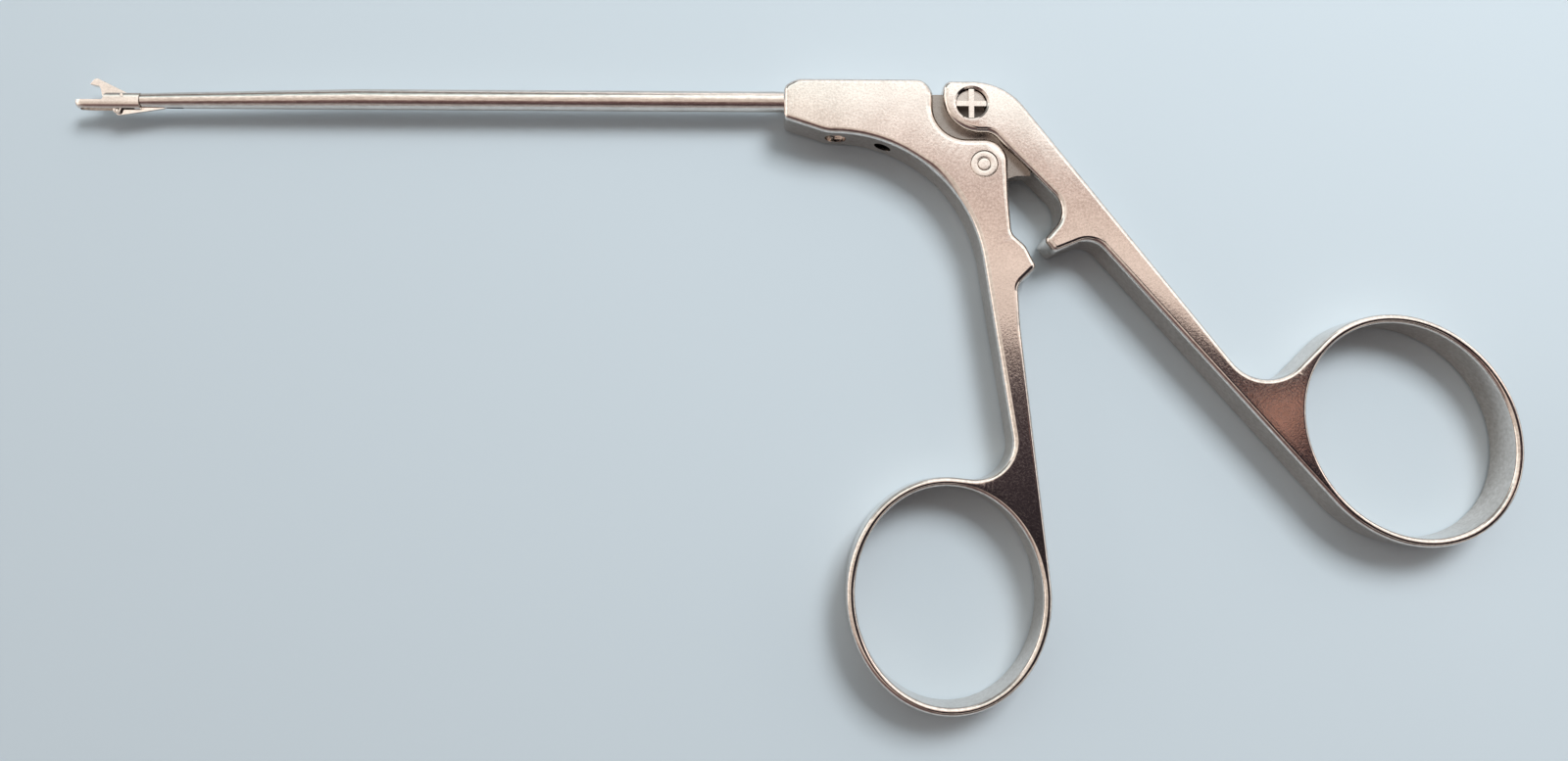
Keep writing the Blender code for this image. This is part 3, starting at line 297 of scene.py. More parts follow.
def rounded(corners):
    """Closed outline through (point, radius) corners; fillets share the sides between them."""
    count = len(corners)
    turns = []
    reaches = []
    for index, (corner, radius) in enumerate(corners):
        before = corners[index - 1][0] - corner
        after = corners[(index + 1) % count][0] - corner
        turns.append(math.pi - before.angle(after))
        reaches.append(radius * math.tan(turns[-1] / 2))
    outline = []
    for index, (corner, radius) in enumerate(corners):
        if radius == 0.0 or turns[index] < SMALLEST_TURN:
            outline.append(corner.copy())
            continue
        following = (index + 1) % count
        before = corners[index - 1][0] - corner
        after = corners[following][0] - corner
        room_before = FILLET_SHARE * before.length / (reaches[index] + reaches[index - 1])
        room_after = FILLET_SHARE * after.length / (reaches[index] + reaches[following])
        reach = reaches[index] * min(1.0, room_before, room_after)
        radius = reach / math.tan(turns[index] / 2)
        start = corner + before.normalized() * reach
        end = corner + after.normalized() * reach
        middle = (before.normalized() + after.normalized()).normalized()
        centre = corner + middle * math.hypot(reach, radius)
        steps = max(2, round(math.degrees(turns[index]) / ARC_STEP))
        first = math.atan2(start.y - centre.y, start.x - centre.x)
        sweep = math.atan2(end.y - centre.y, end.x - centre.x) - first
        sweep = (sweep + math.pi) % (2 * math.pi) - math.pi
        for step in range(steps + 1):
            outline.append(centre + at(radius, math.degrees(first + sweep * step / steps)))
    return outline


def oval_point(ring, normal, wall=0.0):
    """Point of a ring's oval where its outward normal has the given angle."""
    centre, (along, across), tilt = ring
    direction = at(1.0, normal - tilt)
    along += wall
    across += wall
    phase = math.atan2(across * direction.y, along * direction.x)
    upright = Vector((along * math.cos(phase), across * math.sin(phase)))
    return centre + Matrix.Rotation(math.radians(tilt), 2) @ upright


def oval_arc(ring, first, last, wall=0.0):
    """Points of a ring's oval between two normals, counter-clockwise."""
    steps = round((last - first) / OVAL_STEP)
    return [
        oval_point(ring, first + (last - first) * step / steps, wall)
        for step in range(steps + 1)
    ]


def ring_bore(ring):
    """Whole oval of a ring's bore."""
    return oval_arc(ring, 0.0, 360.0 - OVAL_STEP)


def circle(centre, radius):
    """Counter-clockwise circle."""
    return [centre + at(radius, 360.0 * side / ROUND_SIDES) for side in range(ROUND_SIDES)]


def inset(loop, distances):
    """Counter-clockwise loop moved inwards by a distance for each of its points."""
    moved = []
    count = len(loop)
    for index, point in enumerate(loop):
        back = (point - loop[index - 1]).normalized()
        ahead = (loop[(index + 1) % count] - point).normalized()
        normal = Vector((-back.y - ahead.y, back.x + ahead.x)).normalized()
        stretch = max(0.5, normal.dot(Vector((-back.y, back.x))))
        moved.append(point + normal * (distances[index] / stretch))
    return moved


def finished_mesh(mesh, name):
    """Mesh data with its faces pointing out."""
    bmesh.ops.recalc_face_normals(mesh, faces=mesh.faces)
    data = bpy.data.meshes.new(name)
    mesh.to_mesh(data)
    mesh.free()
    return data


def edge_levels(low, high, edge, steps):
    """(inset, rise, level) rows of a plate's wall, with rounded edges above and below."""
    if edge == 0.0:
        return [(0.0, 0.0, low), (0.0, 0.0, high)]
    bends = [math.radians(90.0 * step / steps) for step in range(steps + 1)]
    rows = [(edge - edge * math.sin(bend), edge - edge * math.cos(bend)) for bend in bends]
    lower = [(shrink, rise, low) for shrink, rise in rows]
    upper = [(shrink, -rise, high) for shrink, rise in reversed(rows)]
    return lower + upper


def plate_mesh(name, outline, low, high, edge=0.0, holes=(), steps=EDGE_STEPS, swell=None):
    """Flat plate with an outline, holes and rounded edges, which may swell along the outline."""
    mesh = bmesh.new()
    levels = edge_levels(low, high, edge, steps)
    rims = ([], [])
    for loop, sense in [(outline, 1.0)] + [(hole, -1.0) for hole in holes]:
        loop = [
            point for i, point in enumerate(loop) if (point - loop[i - 1]).length > SHORTEST_SIDE
        ]
        swells = [swell(point) if swell and sense > 0.0 else 1.0 for point in loop]
        rows = []
        for shrink, rise, end in levels:
            moved = inset(loop, [shrink * sense * wide for wide in swells])
            rows.append([
                mesh.verts.new((*point, end + rise * wide)) for point, wide in zip(moved, swells)
            ])
        for lower, upper in zip(rows, rows[1:]):
            for i in range(len(loop)):
                after = (i + 1) % len(loop)
                mesh.faces.new((lower[i], lower[after], upper[after], upper[i]))
        for rim, row in zip(rims, (rows[0], rows[-1])):
            rim.extend(mesh.edges.get((row[i - 1], row[i])) for i in range(len(loop)))
    for rim in rims:
        bmesh.ops.triangle_fill(mesh, edges=rim, use_beauty=True)
    return finished_mesh(mesh, name)


def turned_mesh(name, profile, axis_point, closed=False):
    """Turned piece along X, through (x, radius, rise) stations around an axis."""
    mesh = bmesh.new()
    rows = []
    for x, radius, rise in profile:
        row = []
        for side in range(ROUND_SIDES):
            spoke = at(radius, 360.0 * side / ROUND_SIDES)
            row.append(mesh.verts.new((x, axis_point.x + rise + spoke.x, axis_point.y + spoke.y)))
        rows.append(row)
    pairs = list(zip(rows, rows[1:]))
    if closed:
        pairs.append((rows[-1], rows[0]))
    else:
        mesh.faces.new(rows[0])
        mesh.faces.new(list(reversed(rows[-1])))
    for row, following in pairs:
        for side in range(ROUND_SIDES):
            after = (side + 1) % ROUND_SIDES
            mesh.faces.new((row[side], following[side], following[after], row[after]))
    return finished_mesh(mesh, name)


def bar_mesh(name, start, end, radius, sides, end_radius):
    """Round bar between two points, with a radius at each."""
    mesh = bmesh.new()
    axis = end - start
    facing = axis.to_track_quat("Z", "Y").to_matrix().to_4x4()
    bmesh.ops.create_cone(
        mesh, cap_ends=True, segments=sides, radius1=radius, radius2=end_radius,
        depth=axis.length, matrix=Matrix.Translation((start + end) / 2) @ facing
    )
    return finished_mesh(mesh, name)


def level_bar(name, start, end, height, radius, sides=ROUND_SIDES):
    """Round bar that lies level between two points in plan."""
    return bar_mesh(
        name, Vector((*start, height)), Vector((*end, height)), radius, sides, radius
    )


def upright_bar(name, centre, low, high, radius, sides=ROUND_SIDES, end_radius=None):
    """Upright round bar, which may widen to its upper end."""
    return bar_mesh(
        name, Vector((*centre, low)), Vector((*centre, high)), radius, sides,
        end_radius or radius,
    )


def box_mesh(name, low, high):
    """Box between two corners."""
    mesh = bmesh.new()
    low = Vector(low)
    high = Vector(high)
    pose = Matrix.Translation((low + high) / 2) @ Matrix.Diagonal((*(high - low), 1.0))
    bmesh.ops.create_cube(mesh, size=1.0, matrix=pose)
    return finished_mesh(mesh, name)


def evaluated(piece):
    """Piece with its modifiers worked into its mesh."""
    depsgraph = bpy.context.evaluated_depsgraph_get()
    data = bpy.data.meshes.new_from_object(piece.evaluated_get(depsgraph))
    piece.modifiers.clear()
    piece.data = data
    return piece


def shaped(name, data, steps=()):
    """Object made from a solid by (operation, solid) steps."""
    piece = bpy.data.objects.new(name, data)
    bpy.context.scene.collection.objects.link(piece)
    tools = []
    for operation, tool_data in steps:
        tool = bpy.data.objects.new(tool_data.name, tool_data)
        bpy.context.scene.collection.objects.link(tool)
        modifier = piece.modifiers.new(tool_data.name, "BOOLEAN")
        modifier.operation = operation
        modifier.solver = "EXACT"
        modifier.object = tool
        tools.append(tool)
    evaluated(piece)
    for tool in tools:
        bpy.data.objects.remove(tool)
    return piece


def break_edges(piece, width):
    """Break a piece's sharp edges by a small bevel."""
    bevel = piece.modifiers.new("broken_edges", "BEVEL")
    bevel.width = width
    bevel.segments = 2
    bevel.limit_method = "ANGLE"
    bevel.angle_limit = math.radians(BREAK_ANGLE)
    bevel.use_clamp_overlap = True
    bevel.harden_normals = False
    evaluated(piece)


def dressed(piece, body, node, finishes, pick=None):
    """Finish a piece: in metres, on its body, in its steel; pick gives a face's finish."""
    data = piece.data
    data.transform(Matrix.Scale(MM, 4))
    data.materials.clear()
    for name in finishes:
        data.materials.append(finish_named(name))
    for face in data.polygons:
        face.material_index = pick(face) if pick else 0
    data.shade_smooth()
    data.set_sharp_from_angle(angle=math.radians(SHARP_ANGLE))
    weighted = piece.modifiers.new("even_shading", "WEIGHTED_NORMAL")
    weighted.mode = "FACE_AREA"
    weighted.keep_sharp = True
    evaluated(piece)
    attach(piece, body)
    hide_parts(node)


def handle_face(face):
    """Place in HANDLE_FINISHES of a face's finish."""
    if abs(face.normal.z) < FLAT_NORMAL:
        return 0
    thickness = bpy.context.scene.punch_handle.thickness
    inward = min(abs(face.center.z), abs(thickness - face.center.z))
    # Inner flats take the darker finish, which is painted shade.
    return 1 if inward < FLAT_REACH else 2


def faded(distance, whole):
    """Share that a distance has of a whole one, from none to all."""
    return max(0.0, min(1.0, distance / whole))


def ring_swell(point, ring, looks):
    """How much rounder a handle's edge is at a point: as drawn on the ring, more beyond it."""
    centre, (along, _), _ = ring
    away = (point - centre).length - along - looks.ring_wall / MM - SWELL_START
    return 1.0 + (EDGE_SWELL - 1.0) * faded(away, SWELL_FADE)


def recess_swell(point):
    """How much the fixed handle's edge gains round the head's recess and the ear."""
    along = faded(point.x - RECESS_START, RECESS_FADE)
    up = faded(point.y - EAR_START, EAR_FADE)
    return RECESS_SWELL * along * up * up * (3.0 - 2.0 * up)


def fixed_handle_outline(looks):
    """Outline of the housing, the arm, the stop lug and the finger ring."""
    wall = looks.ring_wall / MM
    corner = EDGE_SWELL * looks.edge_radius / MM + CORNER_SPARE
    arm_left = PIVOT + Vector((0.1, -20.0))
    web_point = oval_point(FINGER_RING, 84.0, wall)
    bend = crossing(HOUSING_BELLY, -1.0, arm_left, -81.4)
    web = crossing(arm_left, -81.4, web_point, 174.0)
    ring = oval_arc(FINGER_RING, 84.0, 365.9, wall)
    stop = LEVER_STOP_ANGLE - HANDLE_RANGE - STOP_GAP
    lower = [
        (Vector((HOUSING_FRONT, -4.25)), corner),
        (HOUSING_BELLY, 8.0),
        (bend, 27.0),
        (web, 6.7),
    ]
    upper = [
        (crossing(ring[-1], 95.9, PIVOT + Vector((6.35, -31.4)), 92.5), 30.0),
        (PIVOT + Vector((5.9, -22.0)), 2.5),
        (PIVOT + at(STOP_OUTER_RADIUS, stop), corner),
        (PIVOT + at(STOP_INNER_RADIUS - 0.9, stop), 2.5),
        (PIVOT + Vector((EAR_RADIUS + 0.4, -12.5)), 2.5),
        (PIVOT + Vector((EAR_RADIUS, -5.9)), 12.0),
        (Vector((PIVOT.x + EAR_RADIUS, EAR_TOP)), EAR_RADIUS),
        (Vector((HOUSING_REAR, EAR_TOP)), 6.05),
        (Vector((HOUSING_REAR, HOUSING_TOP)), 3.2),
        (Vector((HOUSING_FRONT + 2.4, HOUSING_TOP)), 3.2),
        (Vector((HOUSING_FRONT, HOUSING_TOP - 1.3)), 1.7),
    ]
    return rounded(lower + [(point, 0.0) for point in ring] + upper)


def lever_outline(looks):
    """Outline of the lever's head, arm, stop lug and thumb ring."""
    wall = looks.ring_wall / MM
    corner = EDGE_SWELL * looks.edge_radius / MM + CORNER_SPARE
    ring = oval_arc(THUMB_RING, 221.4, 495.0, wall)
    throat_end = PIVOT + at(STOP_INNER_RADIUS, LEVER_STOP_ANGLE)
    lug_end = PIVOT + at(STOP_OUTER_RADIUS - 0.6, LEVER_STOP_ANGLE)
    neck = PIVOT + at(EAR_RADIUS + 0.8, 44.0)
    top_line = PIVOT + Vector((10.3, 7.2))
    corners = [
        (Vector((HEAD_LEFT, HEAD_TOP)), 1.6),
        (Vector((HEAD_LEFT, HEAD_BOTTOM)), 6.7),
        (crossing(Vector((HEAD_LEFT, HEAD_BOTTOM)), 0.0, neck, -46.0), 3.0),
        (crossing(neck, -46.0, throat_end, -131.0), 4.3),
        (throat_end, corner),
        (lug_end, corner),
        (crossing(lug_end, 22.0, ring[0], -48.6), 4.0),
    ]
    corners += [(point, 0.0) for point in ring]
    corners.append((crossing(ring[-1], 225.0, top_line, 128.0), 7.8))
    corners.append((crossing(top_line, 128.0, Vector((HEAD_LEFT, HEAD_TOP)), 0.0), 12.0))
    return rounded(corners)


def tang_outline(margin=0.0, swing=0.0):
    """Eye of the tang, less what the slot leaves for its swing, and the corners of its end."""
    eye = TANG_EYE_RADIUS + margin
    top_left = Vector((TANG_LEFT - margin, TANG_TOP + margin))
    bottom_left = Vector((TANG_LEFT - margin, TANG_BOTTOM - margin))
    lean = math.degrees(math.atan2(bottom_left.y - PIVOT.y, bottom_left.x - PIVOT.x))
    first = lean + math.degrees(math.acos(eye / (bottom_left - PIVOT).length))
    sweep = TANG_EYE_END - swing - first
    steps = round(sweep / ARC_STEP)
    arc = [PIVOT + at(eye, first + sweep * step / steps) for step in range(steps + 1)]
    return arc, top_left, bottom_left


def tang_mesh(looks):
    """Tang that joins the lever's head and arm to its eye on the pivot."""
    arc, top_left, bottom_left = tang_outline()
    web = Vector((PIVOT.x + EAR_RADIUS, PIVOT.y - 1.5))
    corners = [(point, 0.0) for point in arc] + [
        (web - Vector((0.0, 0.625)), 0.0),
        (web + Vector((1.75, 0.0)), 2.5),
        (Vector((PIVOT.x + 11.9, web.y)), 0.0),
        (PIVOT + Vector((10.3, 3.2)), 0.0),
        (Vector((TRUNNION.x + 5.4, TANG_TOP)), 0.0),
        (top_left, 3.0),
        (bottom_left, 1.5),
    ]
    half = looks.tang_thickness / MM / 2
    middle = looks.thickness / MM / 2
    return plate_mesh("tang", rounded(corners), middle - half, middle + half)


def slot_mesh(looks):
    """Slot of the fixed handle that the tang swings in."""
    arc, top_left, bottom_left = tang_outline(2 * RUNNING_GAP, HANDLE_RANGE)
    ear_exit = PIVOT + at(2 * EAR_RADIUS, -50.0)
    beyond = PIVOT.x + 2 * EAR_RADIUS
    corners = [(point, 0.0) for point in arc] + [
        (ear_exit, 0.0),
        (Vector((beyond, ear_exit.y)), 0.0),
        (Vector((beyond, TANG_TOP + 1.2)), 0.0),
        (Vector((top_left.x, TANG_TOP + 1.2)), 1.5),
        (bottom_left, 1.5),
    ]
    half = looks.tang_thickness / MM / 2 + RUNNING_GAP
    middle = looks.thickness / MM / 2
    return plate_mesh("tang_slot", rounded(corners), middle - half, middle + half)


def spanned(nodes, start, end, low=0.0, high=1.0, smooth=False):
    """Map Range node that takes one span of values to another."""
    span = nodes.new("ShaderNodeMapRange")
    if smooth:
        span.interpolation_type = "SMOOTHSTEP"
    span.inputs["From Min"].default_value = start
    span.inputs["From Max"].default_value = end
    span.inputs["To Min"].default_value = low
    span.inputs["To Max"].default_value = high
    return span


def noise(nodes, scale, detail, roughness):
    """Noise node of one fineness."""
    texture = nodes.new("ShaderNodeTexNoise")
    texture.inputs["Scale"].default_value = scale
    texture.inputs["Detail"].default_value = detail
    texture.inputs["Roughness"].default_value = roughness
    return texture


def steel_finish(name, light, dark, roughness, spread, grain, depth, streaks):
    """Stainless steel with clouded colour, uneven gloss and a fine grain in its surface."""
    finish = bpy.data.materials.new(name)
    finish.use_nodes = True
    nodes = finish.node_tree.nodes
    links = finish.node_tree.links
    shader = nodes["Principled BSDF"]
    shader.inputs["Metallic"].default_value = 1.0

    place = nodes.new("ShaderNodeTexCoord").outputs["Object"]
    clouds = noise(nodes, CLOUD_SCALE, CLOUD_DETAIL, CLOUD_ROUGHNESS)
    grains = noise(nodes, grain, GRAIN_DETAIL, GRAIN_ROUGHNESS)
    links.new(place, clouds.inputs["Vector"])
    if streaks > 0.0:
        stretch = nodes.new("ShaderNodeMapping")
        stretch.inputs["Scale"].default_value = (1.0, streaks, streaks)
        links.new(place, stretch.inputs["Vector"])
        links.new(stretch.outputs["Vector"], grains.inputs["Vector"])
    else:
        links.new(place, grains.inputs["Vector"])

    speckle = nodes.new("ShaderNodeMath")
    speckle.operation = "MULTIPLY_ADD"
    speckle.inputs[MATH_FACTOR].default_value = CLOUD_SHARE
    links.new(clouds.outputs["Fac"], speckle.inputs[MATH_VALUE])
    links.new(grains.outputs["Fac"], speckle.inputs[MATH_ADDEND])
    tones = nodes.new("ShaderNodeMapRange")
    tones.data_type = "FLOAT_VECTOR"
    tones.inputs[SPAN_FROM_MIN].default_value = [TONE_SPAN[0]] * 3
    tones.inputs[SPAN_FROM_MAX].default_value = [TONE_SPAN[1]] * 3
    tones.inputs[SPAN_TO_MIN].default_value = dark
    tones.inputs[SPAN_TO_MAX].default_value = light
    links.new(speckle.outputs["Value"], tones.inputs[SPAN_VALUE])
    links.new(tones.outputs[SPAN_RESULT], shader.inputs["Base Color"])

    gloss = spanned(nodes, *GLOSS_SPAN, roughness - spread, roughness + spread)
    links.new(grains.outputs["Fac"], gloss.inputs["Value"])
    links.new(gloss.outputs["Result"], shader.inputs["Roughness"])

    relief = nodes.new("ShaderNodeBump")
    relief.inputs["Strength"].default_value = 1.0
    relief.inputs["Distance"].default_value = depth
    links.new(grains.outputs["Fac"], relief.inputs["Height"])
    links.new(relief.outputs["Normal"], shader.inputs["Normal"])
    return finish


def finish_named(name):
    """Steel finish by name, made once from the colours in the panel."""
    if name in bpy.data.materials:
        return bpy.data.materials[name]
    looks = bpy.context.scene.punch_steel
    satin = looks.satin_roughness
    polished = looks.polished_roughness
    # Shade, roughness and its spread, scale and depth of the grain, streaks along X.
    kinds = {
        "satin_face": (1.0, satin, 0.04, 2600.0, looks.grain_depth, 0.0),
        "polished_edge": (1.04, polished, 0.03, 1500.0, 0.0000006, 0.0),
        # Flats of the slot and the tang: a darker tone that is painted shade in the recess.
        "tang_face_painted_shade": (0.45, 0.3, 0.06, 2600.0, 0.00001, 0.0),
        "shaft_polish": (1.05, 0.16, 0.04, 700.0, 0.0000012, 6.0),
        "jaw_polish": (1.12, 0.2, 0.05, 5200.0, 0.000003, 0.0),
        # Ground pivot and pins: a rougher finish, and a lighter tone that is painted highlight.
        "pivot_ground_painted_highlight": (1.25, 0.34, 0.1, 3000.0, 0.00002, 0.0),
        "trunnion_turned": (1.12, 0.22, 0.05, 3600.0, 0.000006, 0.0),
        # Upper recesses of the trunnion: a somewhat darker tone that is painted shade.
        "recess_turned_painted_shade": (0.8, 0.3, 0.06, 3600.0, 0.00001, 0.0),
        # Lower recesses of the trunnion and the ball plug: a dark tone that is painted shade.
        "painted_shade_recess": (0.24, 0.5, 0.1, 2600.0, 0.000008, 0.0),
        "rod_drawn": (0.9, 0.24, 0.05, 900.0, 0.000002, 8.0),
        "blade_bright": (1.3, 0.16, 0.03, 900.0, 0.000001, 8.0),
    }
    shade, *surface = kinds[name]
    light = [min(1.0, value * shade) for value in looks.light_steel]
    dark = [min(1.0, value * shade) for value in looks.dark_steel]
    return steel_finish(name, light, dark, *surface)


def length(name, description, default):
    """Length that a user can change, in metres."""
    return FloatProperty(
        name=name, description=description, default=default, unit="LENGTH", precision=5
    )


def colour(name, description, default):
    """Colour that a user can change."""
    return FloatVectorProperty(
        name=name, description=description, default=default, subtype="COLOR", min=0.0, max=1.0
    )


def share(name, description, default):
    """Share that a user can change, from none to all."""
    return FloatProperty(
        name=name, description=description, default=default, subtype="FACTOR", min=0.0, max=1.0
    )


def power(name, description, default):
    """Power of a lamp that a user can change, in watts."""
    return FloatProperty(
        name=name, description=description, default=default, unit="POWER", min=0.0
    )


class HandleLooks(PropertyGroup):
    """Sizes of the two handles."""

    thickness: length("Thickness", "Thickness of both handles", 0.008)
    edge_radius: length("Edge radius", "Radius of the polished edges", 0.00075)
    ring_wall: length("Ring wall", "Width of the rings' walls seen from the side", 0.00158)
    tang_thickness: length("Tang", "Thickness of the lever's tang in the slot", 0.0032)
    sleeve_diameter: length("Pivot sleeve", "Outer diameter of the main pivot's sleeve", 0.0049)
    pin_diameter: length("Pivot pin", "Diameter of the pin riveted in the sleeve", 0.0022)
    trunnion_diameter: length("Trunnion", "Diameter of the swivel that the rod pulls on", 0.0054)
    cross_width: length("Cross ribs", "Width of the ribs of the trunnion's cross", 0.00095)


class ShaftLooks(PropertyGroup):
    """Sizes of the shaft and the jaws."""

    tube_diameter: length("Tube", "Diameter of the tube in the housing", 0.0037)
    tube_bore: length("Tube bore", "Bore of the tube around the drive rod", 0.0021)
    tip_diameter: length("Tube tip", "Diameter of the tapered end of the tube", 0.00275)
    jaw_width: length("Jaw body width", "Width of the cheeks and the basket", 0.0027)
    hook_width: length("Hook width", "Width of the hook jaw", 0.0013)


class SteelLooks(PropertyGroup):
    """Colours and gloss of the steel."""

    light_steel: colour(
        "Light steel", "Lighter tone of the stainless steel", (0.775, 0.715, 0.667)
    )
    dark_steel: colour("Dark steel", "Darker tone of the stainless steel", (0.57, 0.518, 0.48))
    satin_roughness: share("Satin roughness", "Roughness of the blasted faces", 0.11)
    polished_roughness: share("Polished roughness", "Roughness of polished edges and walls", 0.1)
    grain_depth: length("Grain depth", "Depth of the blasted grain", 0.000008)


class StageLooks(PropertyGroup):
    """Floor, light and camera."""

    floor_colour: colour("Floor", "Colour of the floor", (0.62, 0.71, 0.78))
    softbox_power: power("Softbox", "Power of the wide softbox behind the shaft", 1.6)
    side_power: power("Sides", "Power of each of the two side panels", 0.9)
    card_power: power("Warm card", "Power of the small reddish card over the thumb ring", 0.003)
    fill_power: power("Fill", "Power of the lamp that lights the floor from behind", 5.2)
    room_level: FloatProperty(
        name="Room", description="Level of the room that the steel mirrors", default=1.0, min=0.0
    )
    room_share: share("Room share", "Share of the room's light that falls on the floor", 0.45)
    camera_place: FloatVectorProperty(
        name="Camera", description="Place of the camera", subtype="XYZ", unit="LENGTH",
        precision=5, default=(-0.009152, -0.069395, 0.197140),
    )
    camera_tilt: FloatProperty(
        name="Camera tilt", description="Lean of the camera towards the shaft",
        default=math.radians(5.272), subtype="ANGLE",
    )
    camera_roll: FloatProperty(
        name="Camera roll", description="Turn of the camera about its own axis",
        default=0.0061, subtype="ANGLE",
    )
    camera_lens: FloatProperty(
        name="Lens", description="Focal length of the lens",
        default=24.75, min=1.0, subtype="DISTANCE_CAMERA",
    )


class PUNCH_OT_fixed_handle(Operator):
    """Make the fixed handle with its housing, slot, bores and finger ring"""

    bl_idname = "punch.fixed_handle"
    bl_label = "Fixed handle"

    def execute(self, context):
        looks = context.scene.punch_handle
        thickness = looks.thickness / MM
        middle = thickness / 2
        data = plate_mesh(
            "fixed_handle", fixed_handle_outline(looks), 0.0, thickness, looks.edge_radius / MM,
            holes=[ring_bore(FINGER_RING)],
            swell=lambda point: ring_swell(point, FINGER_RING, looks) + recess_swell(point),
        )
        bore = context.scene.punch_shaft.tube_diameter / MM / 2 + SEAT_GAP
        below = HOUSING_BELLY.y - 2 * OVERSHOOT
        cuts = [
            slot_mesh(looks),
            level_bar("tube_bore", (HOUSING_FRONT - OVERSHOOT, 0.0), (TUBE_REAR + SEAT_GAP, 0.0),
                      middle, bore),
            box_mesh("rod_chamber",
                     (TUBE_REAR - CHAMBER_LAP, ROD_LEVEL - ROD_REACH, middle - ROD_REACH),
                     (TANG_LEFT + 2 * CHAMBER_LAP, ROD_REACH, middle + ROD_REACH)),
            level_bar("set_screw_hole", (0.0, below), (0.0, -bore / 2),
                      middle, SET_SCREW_DIAMETER / 2 + SEAT_GAP),
            level_bar("drain_hole", (DRAIN_X, below - OVERSHOOT), (DRAIN_X, 0.0),
                      middle, DRAIN_DIAMETER / 2),
            upright_bar("pivot_bore", PIVOT, -OVERSHOOT, thickness + OVERSHOOT,
                        looks.sleeve_diameter / MM / 2 + SEAT_GAP),
        ]
        piece = shaped("fixed_handle_steel", data, [("DIFFERENCE", cut) for cut in cuts])
        dressed(piece, "frame", "fixed_handle", HANDLE_FINISHES, handle_face)
        return {"FINISHED"}


class PUNCH_OT_lever(Operator):
    """Make the moving lever with its head, tang, stop lug and thumb ring"""

    bl_idname = "punch.lever"
    bl_label = "Moving lever"

    def execute(self, context):
        looks = context.scene.punch_handle
        thickness = looks.thickness / MM
        middle = thickness / 2
        data = plate_mesh(
            "lever", lever_outline(looks), 0.0, thickness, looks.edge_radius / MM,
            holes=[ring_bore(THUMB_RING)],
            swell=lambda point: ring_swell(point, THUMB_RING, looks),
        )
        mouth = TANG_LEFT - OVERSHOOT
        fall = (TRUNNION.x - mouth) * math.tan(math.radians(HANDLE_RANGE))
        fan = [
            Vector((TRUNNION.x, TRUNNION.y - ROD_REACH)),
            Vector((TRUNNION.x, TRUNNION.y + ROD_REACH)),
            Vector((mouth, TRUNNION.y + ROD_REACH)),
            Vector((mouth, TRUNNION.y - ROD_REACH - fall)),
        ]
        eye = looks.sleeve_diameter / MM / 2 + RUNNING_GAP
        bore = looks.trunnion_diameter / MM / 2 + RUNNING_GAP
        piece = shaped("lever_steel", data, [
            ("UNION", tang_mesh(looks)),
            ("DIFFERENCE", upright_bar(
                "countersink", TRUNNION, thickness - COUNTERSINK_DEPTH,
                thickness + COUNTERSINK_DEPTH / 2, bore - 0.001,
                end_radius=bore + COUNTERSINK_WIDTH,
            )),
            ("DIFFERENCE", upright_bar("eye_bore", PIVOT, 0.0, thickness, eye)),
            ("DIFFERENCE", upright_bar(
                "trunnion_bore", TRUNNION, -OVERSHOOT, thickness + OVERSHOOT, bore
            )),
            ("DIFFERENCE", plate_mesh("rod_pocket", fan, middle - ROD_REACH, middle + ROD_REACH)),
        ])
        dressed(piece, "lever", "moving_handle", HANDLE_FINISHES, handle_face)
        return {"FINISHED"}


class PUNCH_OT_pivot(Operator):
    """Make the sleeve of the main pivot and the pin riveted in it"""

    bl_idname = "punch.pivot"
    bl_label = "Main pivot"

    def execute(self, context):
        looks = context.scene.punch_handle
        low = SEAT_GAP
        high = looks.thickness / MM - SEAT_GAP
        pin_radius = looks.pin_diameter / MM / 2
        sleeve = shaped("pivot_sleeve_steel", plate_mesh(
            "pivot_sleeve", circle(PIVOT, looks.sleeve_diameter / MM / 2), low, high,
            SLEEVE_EDGE, holes=[circle(PIVOT, pin_radius + SEAT_GAP)],
        ))
        # Sleeve and pin share the rougher finish with the lighter tone of painted highlight.
        dressed(sleeve, "frame", "pivot_sleeve", ["pivot_ground_painted_highlight"])
        pin = shaped("pivot_pin_steel", plate_mesh(
            "pivot_pin", circle(PIVOT, pin_radius), low, high, PIN_EDGE
        ))
        dressed(pin, "frame", "pivot_pin", ["pivot_ground_painted_highlight"])
        return {"FINISHED"}


